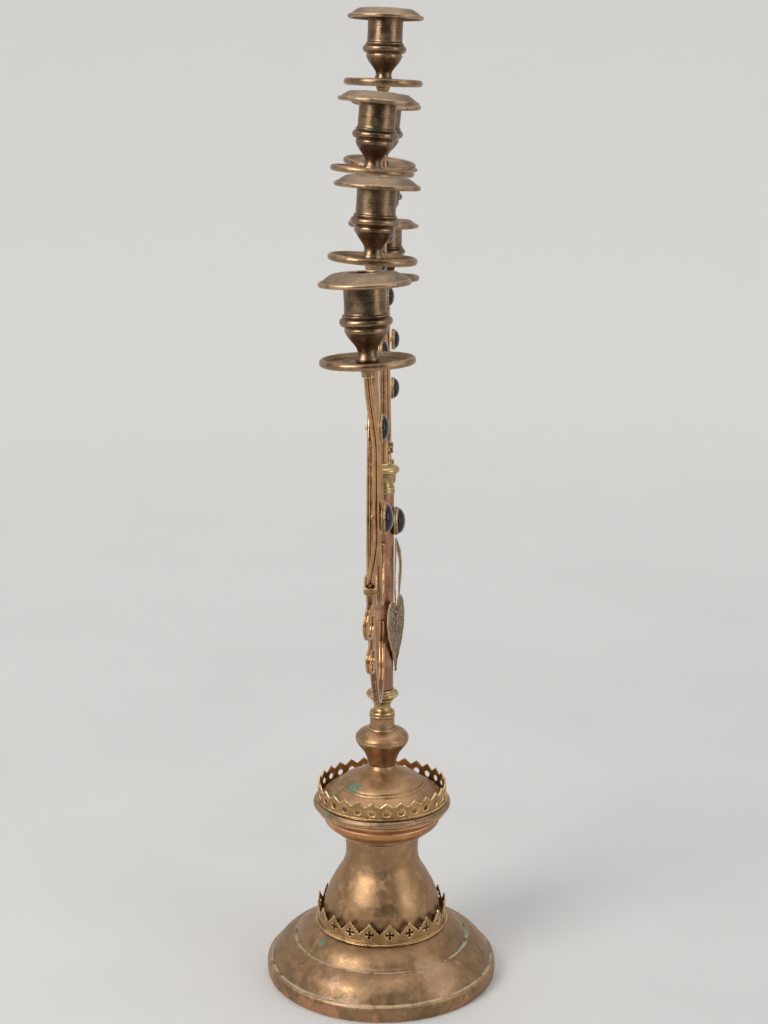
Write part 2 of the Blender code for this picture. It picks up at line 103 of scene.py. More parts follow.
# place x and height, diameter, stand-off, and the band that carries it
JEWELS = {
    "1": (255.0, 421.0, 18.0, 0.0, "arm", "outer"),
    "2": (217.0, 469.0, 16.5, 1.6, "link", "outer"),
    "3": (175.5, 510.0, 16.5, 0.0, "arm", "middle"),
    "4": (139.0, 565.0, 16.0, 0.0, "link", "inner"),
}
LEAF_WIDTH = 45.0
LEAF_LENGTH = 58.0
DOME_SHARE = 0.41              # height of a jewel over its diameter


# ---------------------------------------------------------------- material tools

class Net:
    """A material's node tree, with short calls for its nodes."""

    def __init__(self, name):
        self.material = bpy.data.materials.new(name)
        self.material.use_nodes = True
        self.tree = self.material.node_tree
        self.shader = self.tree.nodes["Principled BSDF"]
        self.place = self.node("ShaderNodeTexCoord").outputs["Object"]

    def node(self, kind, inputs=(), **settings):
        """A new node; each input is given by name or place, as a value or another node's socket."""
        made = self.tree.nodes.new(kind)
        for key, value in settings.items():
            setattr(made, key, value)
        for key, value in dict(inputs).items():
            self.feed(made.inputs[key], value)
        return made

    def feed(self, socket, value):
        if isinstance(value, bpy.types.NodeSocket):
            self.tree.links.new(value, socket)
        else:
            socket.default_value = value

    def math(self, operation, first, second=0.0, clamp=False):
        return self.node("ShaderNodeMath", {0: first, 1: second}, operation=operation,
                         use_clamp=clamp).outputs[0]

    def times(self, first, second):
        return self.math("MULTIPLY", first, second)

    def plus(self, first, second, clamp=False):
        return self.math("ADD", first, second, clamp)

    def most(self, first, second):
        return self.math("MAXIMUM", first, second)

    def attribute(self, name):
        return self.node("ShaderNodeAttribute", attribute_name=name).outputs["Fac"]

    def noise(self, scale, detail=4.0, rough=0.55, distortion=0.0):
        return self.node("ShaderNodeTexNoise", {
            "Vector": self.place, "Scale": scale, "Detail": detail, "Roughness": rough,
            "Distortion": distortion}).outputs["Fac"]

    def lines(self, attribute, scale, detail=3.0):
        """Noise that runs along one measured length, for tool marks."""
        return self.node("ShaderNodeTexNoise", noise_dimensions="1D", inputs={
            "W": self.attribute(attribute), "Scale": scale, "Detail": detail}).outputs["Fac"]

    def spots(self, scale, randomness):
        return self.node("ShaderNodeTexVoronoi", {
            "Vector": self.place, "Scale": scale, "Randomness": randomness}).outputs["Distance"]

    def between(self, value, low, high, first=0.0, last=1.0):
        return self.node("ShaderNodeMapRange", interpolation_type="SMOOTHSTEP", clamp=True, inputs={
            "Value": value, "From Min": low, "From Max": high, "To Min": first,
            "To Max": last}).outputs["Result"]

    def blend(self, share, first, second):
        first, second = (colour if isinstance(colour, bpy.types.NodeSocket) else (*colour, 1.0)
                         for colour in (first, second))
        return self.node("ShaderNodeMix", {0: share, 6: first, 7: second}, data_type="RGBA").outputs[2]

    def bump(self, height, strength, distance, under=None):
        inputs = {"Strength": strength, "Distance": distance, "Height": height}
        if under is not None:
            inputs["Normal"] = under
        return self.node("ShaderNodeBump", inputs).outputs["Normal"]

    def split(self, vector):
        """The X, Y and Z of a vector."""
        return self.node("ShaderNodeSeparateXYZ", {0: vector}).outputs

    def facing_up(self):
        """One where the surface faces up, nought where it is upright or faces down."""
        facing = self.split(self.node("ShaderNodeTexCoord").outputs["Normal"])["Z"]
        return self.between(facing, 0.45, 0.92)

    def patch(self, centre, radius):
        """One inside a ragged round patch about a place."""
        gap = self.node("ShaderNodeVectorMath", {0: self.place, 1: centre}, operation="DISTANCE")
        ragged = self.times(self.noise(260.0, 8.0, 0.8), radius * 2.6)
        reach = self.plus(gap.outputs["Value"], ragged)
        broken = self.between(self.noise(620.0, 6.0, 0.75), 0.35, 0.53, 0.2, 0.95)
        return self.times(self.between(reach, radius * 2.30, radius * 1.85), broken)

    def height_of(self):
        return self.split(self.place)["Z"]

    def finish(self, colour, rough, normal, metallic=1.0):
        for name, value in (("Base Color", colour), ("Roughness", rough), ("Metallic", metallic),
                            ("Normal", normal)):
            self.feed(self.shader.inputs[name], value)
        return self.material


VERDIGRIS = (0.10, 0.21, 0.135)
PALE_DUST = (0.36, 0.34, 0.26)
FILM = (0.20, 0.165, 0.12)


def aged_metal(name, dark, middle, light, worn, rough=0.36, green=0.0, pale=0.0, lines=0.0,
               mottle=0.5, blotch_scale=38.0, dust=0.0, tool_bump=0.14, speck=0.3, patches=()):
    """Brass or copper with tarnish, worn edges, grooves darkened by painted shade and grime, and deposits.

    green is the share of verdigris, pale the share of polish residue in the grooves, dust the
    share of dull film on upward faces, lines the strength of turning lines, speck of dark specks.
    patches are verdigris spots, each a place and a radius.
    """
    net = Net(name)
    blotch = net.noise(blotch_scale, 6.0, 0.62, 0.7)
    clouds = net.noise(blotch_scale * 3.3, 5.0, 0.6, 0.3)
    grain = net.noise(900.0, 4.0, 0.6)
    specks = net.noise(330.0, 6.0, 0.68)
    relief = net.attribute("relief")
    colour = net.blend(net.between(blotch, 0.5 - mottle * 0.3, 0.5 + mottle * 0.3), dark, middle)
    colour = net.blend(net.between(clouds, 0.46, 0.74, 0.0, 0.9), colour, light)
    if lines:
        streak = net.lines("along", 1.1, 6.0)
        colour = net.blend(net.between(streak, 0.5, 0.78, 0.0, lines), colour, light)
        colour = net.blend(net.between(streak, 0.46, 0.24, 0.0, lines), colour, dark)
    colour = net.blend(net.between(specks, 0.60, 0.76, 0.0, speck), colour, [c * 0.4 for c in dark])
    edge = net.times(net.between(relief, 0.10, 0.62), net.between(clouds, 0.36, 0.56, 0.25, 1.0))
    colour = net.blend(edge, colour, worn)
    # Painted shade and grime: grooves and hollows are darkened almost to black.
    hollow = net.between(net.plus(relief, net.times(clouds, 0.22)), -0.02, -0.42)
    colour = net.blend(net.times(hollow, 0.9), colour, [c * 0.16 for c in dark])
    matt = net.times(hollow, 0.7)
    deposits = []
    if pale:
        crust = net.times(net.between(relief, -0.16, -0.62), net.between(specks, 0.42, 0.55))
        deposits.append((net.times(crust, pale), PALE_DUST))
    if green:
        patch = net.plus(net.noise(27.0, 7.0, 0.7, 0.4), net.times(relief, -0.16))
        patch = net.between(patch, 0.665 - 0.07 * green, 0.72 - 0.05 * green)
        deposits.append((net.times(patch, net.between(specks, 0.36, 0.5)), VERDIGRIS))
    deposits += [(net.patch(centre, radius), VERDIGRIS) for centre, radius in patches]
    if dust:
        film = net.between(net.noise(62.0, 5.0, 0.6), 0.35, 0.65, dust * 0.35, dust)
        deposits.append((net.times(film, net.facing_up()), FILM))
    for share, tint in deposits:
        colour = net.blend(share, colour, tint)
        matt = net.most(matt, share)
    shine = net.between(clouds, 0.3, 0.7, rough - 0.09, rough + 0.12)
    shine = net.plus(shine, net.times(grain, 0.08))
    shine = net.math("SUBTRACT", shine, net.times(edge, 0.08))
    shine = net.plus(shine, net.times(matt, 0.38), clamp=True)
    metallic = net.between(matt, 0.25, 0.9, 1.0, 0.25)
    normal = net.bump(blotch, 0.14, 0.003)
    normal = net.bump(specks, tool_bump, 0.0006, normal)
    normal = net.bump(grain, 0.12, 0.0002, normal)
    if lines:
        normal = net.bump(net.lines("along", 2.6, 4.0), 0.35 * lines, 0.0003, normal)
    return net.finish(colour, shine, normal, metallic)


def foot_metal():
    """The foot's brown brass, with rubbed copper patches round its rim and pale crust in its grooves."""
    net = Net("foot_metal")
    relief = net.attribute("relief")
    blotch = net.noise(30.0, 7.0, 0.66, 0.9)
    clouds = net.noise(120.0, 6.0, 0.62, 0.3)
    specks = net.noise(420.0, 6.0, 0.7)
    grain = net.noise(1100.0, 3.0, 0.6)
    height = net.height_of()
    colour = net.blend(net.between(blotch, 0.36, 0.64), (0.225, 0.138, 0.074), (0.36, 0.22, 0.117))
    colour = net.blend(net.between(clouds, 0.45, 0.75, 0.0, 0.6), colour, (0.44, 0.295, 0.175))
    rubbed = net.plus(net.noise(17.0, 8.0, 0.72, 1.2), net.between(height, 0.016, 0.002, 0.0, 0.14))
    rubbed = net.times(net.between(rubbed, 0.60, 0.70), net.between(specks, 0.34, 0.52, 0.3, 0.9))
    colour = net.blend(rubbed, colour, (0.60, 0.31, 0.17))
    pink = net.times(net.between(net.noise(52.0, 7.0, 0.75), 0.585, 0.66), 0.6)
    for centre, radius in (((-0.060, -0.045, 0.023), 0.017), ((-0.060, -0.031, 0.030), 0.006),
                           ((-0.068, 0.030, 0.020), 0.008), ((-0.082, 0.020, 0.012), 0.007)):
        pink = net.most(pink, net.times(net.patch(centre, radius), 0.6))
    colour = net.blend(pink, colour, (0.52, 0.35, 0.25))
    colour = net.blend(net.between(specks, 0.60, 0.74, 0.0, 0.45), colour, (0.09, 0.055, 0.035))
    edge = net.times(net.between(relief, 0.08, 0.5), net.between(clouds, 0.38, 0.55, 0.2, 1.0))
    colour = net.blend(edge, colour, (0.70, 0.46, 0.28))
    # Painted shade and grime: the foot's grooves and hollows are darkened almost to black.
    hollow = net.between(net.plus(relief, net.times(clouds, 0.2)), 0.0, -0.34)
    colour = net.blend(net.times(hollow, 0.9), colour, (0.03, 0.02, 0.012))
    crust = net.times(net.between(relief, -0.05, -0.22), net.between(clouds, 0.34, 0.50))
    colour = net.blend(crust, colour, (0.42, 0.41, 0.32))
    green = net.plus(net.noise(23.0, 8.0, 0.72, 0.5), net.times(relief, -0.2))
    green = net.times(net.between(green, 0.64, 0.69), net.between(specks, 0.36, 0.5))
    green = net.most(green, net.patch((-0.037, 0.0446, 0.038), 0.0045))
    colour = net.blend(green, colour, VERDIGRIS)
    matt = net.most(net.most(crust, green), net.times(hollow, 0.6))
    shine = net.between(clouds, 0.3, 0.7, 0.30, 0.50)
    shine = net.plus(shine, net.times(grain, 0.10))
    shine = net.plus(shine, net.times(pink, 0.14))
    shine = net.plus(shine, net.times(matt, 0.35), clamp=True)
    normal = net.bump(blotch, 0.18, 0.004)
    normal = net.bump(specks, 0.25, 0.0006, normal)
    normal = net.bump(net.lines("along", 2.4, 4.0), 0.16, 0.0003, normal)
    normal = net.bump(grain, 0.2, 0.0002, normal)
    return net.finish(colour, shine, normal, net.between(matt, 0.25, 0.9, 1.0, 0.2))


def lip_metal():
    """Brown roll above, two red copper rings below, by height."""
    net = Net("lip_metal")
    relief = net.attribute("relief")
    clouds = net.noise(95.0, 6.0, 0.62, 0.5)
    blotch = net.noise(34.0, 6.0, 0.6, 0.7)
    specks = net.noise(380.0, 6.0, 0.68)
    grain = net.noise(1000.0, 3.0, 0.6)
    height = net.height_of()
    brown = net.blend(net.between(blotch, 0.4, 0.6), (0.18, 0.112, 0.063), (0.30, 0.188, 0.108))
    brown = net.blend(net.between(clouds, 0.45, 0.75, 0.0, 0.6), brown, (0.40, 0.27, 0.17))
    red = net.blend(net.between(blotch, 0.38, 0.62), (0.40, 0.18, 0.075), (0.58, 0.28, 0.12))
    red = net.blend(net.between(clouds, 0.48, 0.7, 0.0, 0.7), red, (0.70, 0.38, 0.19))
    copper = net.times(net.between(height, 0.1358, 0.1350), net.between(height, 0.1196, 0.1206))
    colour = net.blend(copper, brown, red)
    colour = net.blend(net.between(specks, 0.60, 0.72, 0.0, 0.6), colour, (0.06, 0.035, 0.02))
    edge = net.times(net.between(relief, 0.08, 0.5), net.between(clouds, 0.36, 0.55, 0.25, 1.0))
    colour = net.blend(edge, colour, (0.88, 0.58, 0.36))
    # Painted shade and grime: the lip's grooves and hollows are darkened almost to black.
    hollow = net.between(net.plus(relief, net.times(clouds, 0.16)), 0.0, -0.34)
    colour = net.blend(net.times(hollow, 0.92), colour, (0.028, 0.018, 0.011))
    green = net.plus(net.noise(31.0, 8.0, 0.72, 0.5), net.times(relief, -0.2))
    green = net.times(net.between(green, 0.63, 0.68), net.between(specks, 0.36, 0.5))
    green = net.most(green, net.patch((-0.032, 0.042, 0.139), 0.005))
    colour = net.blend(green, colour, VERDIGRIS)
    matt = net.most(green, net.times(hollow, 0.6))
    shine = net.plus(net.between(clouds, 0.3, 0.7, 0.28, 0.46), net.times(grain, 0.1))
    shine = net.plus(shine, net.times(matt, 0.35), clamp=True)
    normal = net.bump(blotch, 0.25, 0.004)
    normal = net.bump(specks, 0.35, 0.0006, normal)
    normal = net.bump(net.lines("along", 2.4, 4.0), 0.16, 0.0003, normal)
    return net.finish(colour, shine, normal, net.between(matt, 0.25, 0.9, 1.0, 0.2))


def leaf_metal():
    """Stamped, finely textured grey-brown brass."""
    net = Net("leaf_metal")
    relief = net.attribute("relief")
    clouds = net.noise(85.0, 6.0, 0.65, 0.5)
    specks = net.noise(700.0, 5.0, 0.7)
    stipple = net.spots(620.0, 0.8)
    colour = net.blend(net.between(clouds, 0.38, 0.62), (0.24, 0.165, 0.105), (0.45, 0.325, 0.215))
    colour = net.blend(net.between(stipple, 0.42, 0.12, 0.0, 0.8), colour, (0.60, 0.455, 0.32))
    colour = net.blend(net.between(stipple, 0.48, 0.72, 0.0, 0.8), colour, (0.07, 0.048, 0.032))
    colour = net.blend(net.between(relief, 0.12, 0.5, 0.0, 0.8), colour, (0.58, 0.42, 0.27))
    # Painted shade and grime: the leaf's hollows are darkened almost to black.
    hollow = net.between(relief, -0.04, -0.3)
    colour = net.blend(net.times(hollow, 0.85), colour, (0.04, 0.03, 0.022))
    shine = net.plus(net.between(clouds, 0.3, 0.7, 0.46, 0.62), net.times(specks, 0.14))
    normal = net.bump(net.math("SUBTRACT", 1.0, stipple), 0.8, 0.0006)
    normal = net.bump(specks, 0.4, 0.0004, normal)
    return net.finish(colour, shine, normal, 0.9)


def glass():
    """Near-black purple glass with faint veils and fine rubbing."""
    net = Net("dark_glass")
    veil = net.noise(120.0, 5.0, 0.6, 1.4)
    scuffs = net.noise(900.0, 5.0, 0.7)
    colour = net.blend(net.between(veil, 0.35, 0.72), (0.004, 0.002, 0.003), (0.022, 0.006, 0.014))
    colour = net.blend(net.between(scuffs, 0.62, 0.75, 0.0, 0.25), colour, (0.10, 0.08, 0.09))
    rough = net.between(scuffs, 0.45, 0.75, 0.06, 0.24)
    normal = net.bump(scuffs, 0.05, 0.0002)
    net.shader.inputs["Specular IOR Level"].default_value = 0.4
    return net.finish(colour, rough, normal, 0.0)


def steel():
    """Dull steel of the hidden tie, with brown rust."""
    net = Net("dull_steel")
    clouds = net.noise(110.0, 7.0, 0.66, 0.5)
    specks = net.noise(520.0, 6.0, 0.7)
    colour = net.blend(net.between(clouds, 0.4, 0.62), (0.21, 0.20, 0.19), (0.40, 0.39, 0.37))
    rust = net.times(net.between(clouds, 0.53, 0.63), net.between(specks, 0.42, 0.56))
    colour = net.blend(rust, colour, (0.19, 0.075, 0.03))
    rough = net.plus(net.between(specks, 0.3, 0.7, 0.36, 0.55), net.times(rust, 0.3))
    normal = net.bump(specks, 0.4, 0.0005)
    return net.finish(colour, rough, normal, net.between(rust, 0.2, 0.8, 1.0, 0.2))


BRONZE = aged_metal("aged_bronze", (0.27, 0.16, 0.083), (0.40, 0.24, 0.125), (0.52, 0.325, 0.18),
                    (0.66, 0.43, 0.25), 0.38, green=0.6, pale=0.5, lines=0.25, mottle=0.8,
                    patches=(((-0.0206, 0.0204, 0.157), 0.0062), ((-0.032, 0.012, 0.156), 0.003)))
CUP_BRONZE = aged_metal("cup_bronze", (0.11, 0.072, 0.042), (0.215, 0.140, 0.082), (0.35, 0.23, 0.145),
                        (0.62, 0.40, 0.25), 0.28, green=0.1, pale=0.25, lines=0.35, mottle=0.8)
RING_BRONZE = aged_metal("ring_bronze", (0.13, 0.085, 0.05), (0.23, 0.148, 0.088), (0.35, 0.235, 0.145),
                         (0.54, 0.36, 0.22), 0.34, green=0.2, pale=0.3, lines=0.3, dust=0.45, mottle=0.8)
PAN_BRONZE = aged_metal("pan_bronze", (0.16, 0.095, 0.052), (0.29, 0.178, 0.098), (0.42, 0.27, 0.16),
                        (0.64, 0.42, 0.26), 0.30, green=0.3, pale=0.3, lines=0.3, dust=0.3, mottle=0.8)
GALLERY_BRASS = aged_metal("gallery_brass", (0.26, 0.155, 0.068), (0.46, 0.285, 0.122),
                           (0.60, 0.39, 0.19), (0.76, 0.52, 0.28), 0.36, green=0.3, pale=0.45, mottle=0.9)
TURNED_BRASS = aged_metal("turned_brass", (0.26, 0.17, 0.07), (0.47, 0.325, 0.14), (0.62, 0.45, 0.22),
                          (0.78, 0.58, 0.32), 0.28, green=0.15, pale=0.4, lines=0.3, mottle=0.8)
TUBE_COPPER = aged_metal("tube_copper", (0.27, 0.125, 0.078), (0.43, 0.22, 0.14), (0.56, 0.32, 0.21),
                         (0.70, 0.42, 0.28), 0.29, green=0.2, pale=0.3, lines=0.25, mottle=0.8)
BAND_BRASS = aged_metal("band_brass", (0.30, 0.155, 0.072), (0.48, 0.275, 0.130), (0.60, 0.365, 0.19),
                        (0.52, 0.305, 0.15), 0.23, mottle=1.2, blotch_scale=40.0, tool_bump=0.03, speck=0.08)
FITTING_BRASS = aged_metal("fitting_brass", (0.17, 0.11, 0.05), (0.36, 0.235, 0.105), (0.52, 0.355, 0.18),
                           (0.70, 0.49, 0.28), 0.32, green=0.15, pale=0.2, blotch_scale=90.0)
FOOT_METAL = foot_metal()
LIP_METAL = lip_metal()
LEAF_METAL = leaf_metal()
GLASS = glass()
STEEL = steel()


# ---------------------------------------------------------------- mesh tools

def add_relief(mesh):
    """Store how raised or hollow the surface is at each point: 1 on a sharp edge, -1 in a groove."""
    count = len(mesh.vertices)
    place = np.empty(count * 3)
    mesh.vertices.foreach_get("co", place)
    place = place.reshape(-1, 3)
    normal = np.empty(count * 3)
    mesh.vertices.foreach_get("normal", normal)
    normal = normal.reshape(-1, 3)
    ends = np.empty(len(mesh.edges) * 2, dtype=np.int64)
    mesh.edges.foreach_get("vertices", ends)
    first, second = ends.reshape(-1, 2).T
    step = place[second] - place[first]
    length = np.maximum((step * step).sum(1), 4e-8)
    rise = (np.bincount(first, (step * normal[first]).sum(1) / length, count)
            - np.bincount(second, (step * normal[second]).sum(1) / length, count))
    degree = np.maximum(np.bincount(first, minlength=count) + np.bincount(second, minlength=count), 1)
    relief = np.clip(-rise / degree / 420.0, -1.0, 1.0)
    for _ in range(2):
        around = (np.bincount(first, relief[second], count)
                  + np.bincount(second, relief[first], count)) / degree
        relief = 0.5 * relief + 0.5 * around
    stored = mesh.attributes.new("relief", "FLOAT", "POINT")
    stored.data.foreach_set("value", relief.astype(np.float32))


def build_piece(name, points, faces, material, node, body="stand", along=None, dent=0.0,
                dent_scale=18.0, sharp=55.0, place=None):
    """A finished piece from points in millimetres; dent is the size of its small hand-made waves."""
    mesh = bpy.data.meshes.new(name)
    if place is not None:
        points = points @ np.array(place.to_3x3()).T + np.array(place.translation) / MM
    mesh.from_pydata((points * MM).tolist(), [], [list(face) for face in faces])
    if along is not None:
        stored = mesh.attributes.new("along", "FLOAT", "POINT")
        stored.data.foreach_set("value", np.asarray(along, dtype=np.float32))
    bm = bmesh.new()
    bm.from_mesh(mesh)
    bmesh.ops.remove_doubles(bm, verts=bm.verts, dist=2e-6)
    bmesh.ops.recalc_face_normals(bm, faces=bm.faces)
    if dent:
        bm.normal_update()
        moves = [noise.noise(vert.co * dent_scale) * dent * MM for vert in bm.verts]
        normals = [vert.normal.copy() for vert in bm.verts]
        for vert, normal, move in zip(bm.verts, normals, moves):
            vert.co += normal * move
    bm.to_mesh(mesh)
    bm.free()
    mesh.shade_smooth()
    mesh.set_sharp_from_angle(angle=math.radians(sharp))
    add_relief(mesh)
    mesh.materials.append(material)
    piece = bpy.data.objects.new(name, mesh)
    bpy.context.scene.collection.objects.link(piece)
    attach(piece, body)
    if node:
        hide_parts(node)


def grid(rows, columns, wrap_rows=True, wrap_columns=True):
    """Quads of a grid of points numbered row by row."""
    down = np.arange(rows if wrap_rows else rows - 1)
    over = np.arange(columns if wrap_columns else columns - 1)
    r, c = (part.ravel() for part in np.meshgrid(down, over, indexing="ij"))
    r_next, c_next = (r + 1) % rows, (c + 1) % columns
    return np.stack([r * columns + c, r * columns + c_next,
                     r_next * columns + c_next, r_next * columns + c], axis=1)


def joined(parts):
    """One (points, faces) pair from several."""
    points, faces, start = [], [], 0
    for part_points, part_faces in parts:
        points.append(np.asarray(part_points, dtype=float))
        faces += [[int(i) + start for i in face] for face in part_faces]
        start += len(part_points)
    return np.concatenate(points), faces


def moved(part, matrix):
    """A part's points under a 4x4 in millimetres."""
    points, faces = part
    return points @ np.array(matrix.to_3x3()).T + np.array(matrix.translation), faces


def eased(t):
    t = min(max(t, 0.0), 1.0)
    return t * t * (3 - 2 * t)


def rounded(outline, ease=3.0, gap=2.2):
    """Closed outline with its corners eased; a third number in a point caps its own easing."""
    count = len(outline)
    bent = []
    for index, corner in enumerate(outline):
        here = np.array(corner[:2], dtype=float)
        back = np.array(outline[index - 1][:2], dtype=float) - here
        ahead = np.array(outline[(index + 1) % count][:2], dtype=float) - here
        back_length, ahead_length = np.linalg.norm(back), np.linalg.norm(ahead)
        cap = corner[2] if len(corner) > 2 else ease
        cut = min(cap, 0.48 * back_length, 0.48 * ahead_length)
        if cut < 0.02:
            bent.append(here)
            continue
        start, end = here + back * cut / back_length, here + ahead * cut / ahead_length
        for t in (0.0, 0.25, 0.5, 0.75, 1.0):
            bent.append((1 - t) ** 2 * start + 2 * t * (1 - t) * here + t * t * end)
    full = []
    for here, following in zip(bent, bent[1:] + bent[:1]):
        parts = max(1, math.ceil(np.linalg.norm(following - here) / gap))
        full += [here + (following - here) * k / parts for k in range(parts)]
    return np.array(full)


def turned(profile, steps, wobble=None):
    """Spin a closed profile of (radius, height); gives points, faces and the length along it."""
    turn = np.arange(steps) * TURN / steps
    radius = np.repeat(profile[:, :1], steps, axis=1)
    height = np.repeat(profile[:, 1:2], steps, axis=1)
    if wobble is not None:
        radius, height = wobble(radius, height, turn[None, :])
    points = np.stack([radius * np.cos(turn), radius * np.sin(turn), height], axis=2).reshape(-1, 3)
    lengths = np.linalg.norm(np.diff(profile, axis=0), axis=1)
    along = np.repeat(np.concatenate([[0.0], np.cumsum(lengths)]), steps)
    return points, grid(len(profile), steps), along


def lathed(outline, steps, ease=0.3, gap=1.0):
    """Points and faces of a small turned part."""
    return turned(rounded(outline, ease, gap), steps)[:2]


def spun(name, outline, steps, material, node, ease, body="stand", dent=0.12, place=None, gap=2.2):
    points, faces, along = turned(rounded(outline, ease, gap), steps)
    build_piece(name, points, faces, material, node, body, along, dent, place=place)


def light_frame(light):
    x, z, y, lean, roll = LIGHTS[light]
    return (Matrix.Translation(Vector((x, y, z)) * MM)
            @ Matrix.Rotation(math.radians(-roll), 4, "Y")
            @ Matrix.Rotation(math.radians(lean), 4, "X"))


def in_mm(matrix):
    """A frame in metres with its offset in millimetres."""
    scaled = matrix.copy()
    scaled.translation = matrix.translation / MM
    return scaled


# ---------------------------------------------------------------- bands

def cubic(points, t):
    weights = ((1 - t) ** 3, 3 * t * (1 - t) ** 2, 3 * t * t * (1 - t), t ** 3)
    return (sum(w * p[0] for w, p in zip(weights, points)),
            sum(w * p[1] for w, p in zip(weights, points)))


def chain(curves, steps):
    points = [cubic(curves[0], 0.0)]
    for curve in curves:
        points += [cubic(curve, (i + 1) / steps) for i in range(steps)]
    return points


def arm_path(side, arm, steps=8):
    sign = SIGN[side]
    light = side + "_" + arm
    flat = chain(ARM_CURVES[arm], steps)
    path = []
    for index, (x, z) in enumerate(flat):
        t = index / (len(flat) - 1)
        rise = 3 * t - 2
        y = LIGHTS[light][2] * eased((t - 0.45) / 0.55)
        y += BOWS.get(light, 0.0) * eased((rise - 0.2) / 0.3) * eased((1 - rise) / 0.22)
        path.append(Vector((sign * x, y, z)))
    return path


def nearest_on(path, place):
    best = None
    for start, end in zip(path, path[1:]):
        along = intersect_point_line(place, start, end)[1]
        point = start.lerp(end, min(max(along, 0.0), 1.0))
        if best is None or (point - place).length < (best[0] - place).length:
            best = (point, (end - start).normalized())
    return best


def y_on(path, x, z, reach=0.0):
    heights = (z - reach, z - reach / 2, z, z + reach / 2, z + reach)
    return min(nearest_on(path, Vector((x, 0.0, height)))[0].y for height in heights)


def link_path(side, link, steps=7):
    sign = SIGN[side]
    flat = chain(LINK_CURVES[link], steps)
    outer_arm, inner_arm = ("outer", "middle") if link == "outer" else ("middle", "inner")
    first = y_on(arm_path(side, outer_arm), sign * flat[0][0], flat[0][1])
    last = y_on(arm_path(side, inner_arm), sign * flat[-1][0], flat[-1][1])
    return [Vector((sign * x, first + (last - first) * eased(index / (len(flat) - 1)), z))
            for index, (x, z) in enumerate(flat)]


def arm_place(place):
    """Point of an outer arm's curves and its unit direction there, as (x, z) vectors."""
    curve = ARM_CURVES["outer"][int(place)]
    share = place - int(place)
    point = Vector(cubic(curve, share))
    return point, (Vector(cubic(curve, share + 0.01)) - point).normalized()


def volute(edge, along, out, radius, steps):
    """Spiral that leaves its edge point in the given direction and curls outward."""
    points = []
    for index in range(steps + 1):
        t = index / steps
        angle = TURN * VOLUTE_TURNS * t
        reach = radius * (1 + (VOLUTE_EYE - 1) * t)
        offset = along * (reach * math.sin(angle)) - out * (reach * math.cos(angle))
        place = edge + out * radius + offset
        points.append((place.x, math.tan(VOLUTE_TWIST) * eased(3 * t) * offset.x, place.y))
    return points


def scroll_path(side):
    """C-scroll: lower volute, a run beside the outer arm, upper volute."""
    sign = SIGN[side]
    apart = (BAND_THICKNESS + SCROLL_THICKNESS) / 2 + SCROLL_GAP
    run = []
    for index in range(19):
        point, along = arm_place(SCROLL_FROM + (SCROLL_TO - SCROLL_FROM) * index / 18)
        out = Vector((along.y, -along.x))
        run.append((point + out * apart, along, out))
    lower = volute(run[0][0], -run[0][1], run[0][2], LOWER_VOLUTE_R, 60)
    upper = volute(run[-1][0], run[-1][1], run[-1][2], UPPER_VOLUTE_R, 60)
    middle = [(point.x, 0.0, point.y) for point, along, out in run[1:-1]]
    return [Vector((sign * x, y, z)) for x, y, z in lower[::-1] + middle + upper]


def reeded_section():
    """Two round ribs side by side, as (across, side) points."""
    rib, centre = 1.28, 1.22
    half = []
    for step in range(13):
        angle = math.radians(138 - 23 * step)
        half.append((rib * math.sin(angle), centre + rib * math.cos(angle)))
    points = [(0.40, 0.0)] + half + [(-0.40, 0.0)] + [(a, -s) for a, s in reversed(half)]
    return np.array(points)


def rounded_path(path):
    """A path with close points at both ends, and the section's scale at each point for round ends."""
    reach, bluntness = 1.4, 0.45
    ends = (0.0, 0.12, 0.35, 0.7, 1.0)
    points = [np.array(p) for p in path]
    scales = [1.0] * len(points)

    def ease_end(points, scales):
        direction = points[1] - points[0]
        direction = direction / np.linalg.norm(direction)
        start = points[0]
        kept = [i for i, p in enumerate(points) if np.linalg.norm(p - start) > reach * 1.3]
        lead = [start + direction * reach * e for e in ends]
        lead_scales = [bluntness + (1 - bluntness) * math.sqrt(1 - (1 - e) ** 2) for e in ends]
        return lead + points[kept[0]:], lead_scales + scales[kept[0]:]

    points, scales = ease_end(points, scales)
    points, scales = ease_end(points[::-1], scales[::-1])
    return np.array(points[::-1]), np.array(scales[::-1])


def swept(path, section, scales, wide=(0.0, 1.0, 0.0)):
    """Sweep a closed section along an open path; the section's second number lies along `wide`."""
    tangent = np.gradient(path, axis=0)
    tangent /= np.linalg.norm(tangent, axis=1)[:, None]
    across = np.cross(tangent, np.array(wide))
    across /= np.linalg.norm(across, axis=1)[:, None]
    side = np.cross(across, tangent)
    sized = section[None] * scales[:, None, None]
    points = path[:, None] + across[:, None] * sized[:, :, :1] + side[:, None] * sized[:, :, 1:]
    count = len(section)
    faces = grid(len(path), count, False, True).tolist()
    faces.append(list(range(count))[::-1])
    faces.append([(len(path) - 1) * count + i for i in range(count)])
    return points.reshape(-1, 3), faces


SECTION = reeded_section()


def reeded_band(path, share=(1.0, 1.0)):
    points, scales = rounded_path(path)
    return swept(points, SECTION * np.array(share), scales)


def build_band(node, path, share=(1.0, 1.0)):
    points, faces = reeded_band(path, share)
    build_piece(node + "_band", points, faces, BAND_BRASS, node, dent=0.10, dent_scale=60.0)


def ferrule_part(light):
    outline = [(0, -3.8, 0), (4.4, -3.8, 0.6), (5.2, -3.2, 0.4), (5.2, -2.9, 0.2), (6.0, -2.6, 0.3),
               (6.2, -2.0, 0.3), (5.8, -1.8, 0.1), (2.8, -1.8, 0.1), (2.8, 14.0, 0.2), (0, 14.0, 0)]
    return moved(lathed(outline, 40, 0.4, 1.5), in_mm(light_frame(light)))


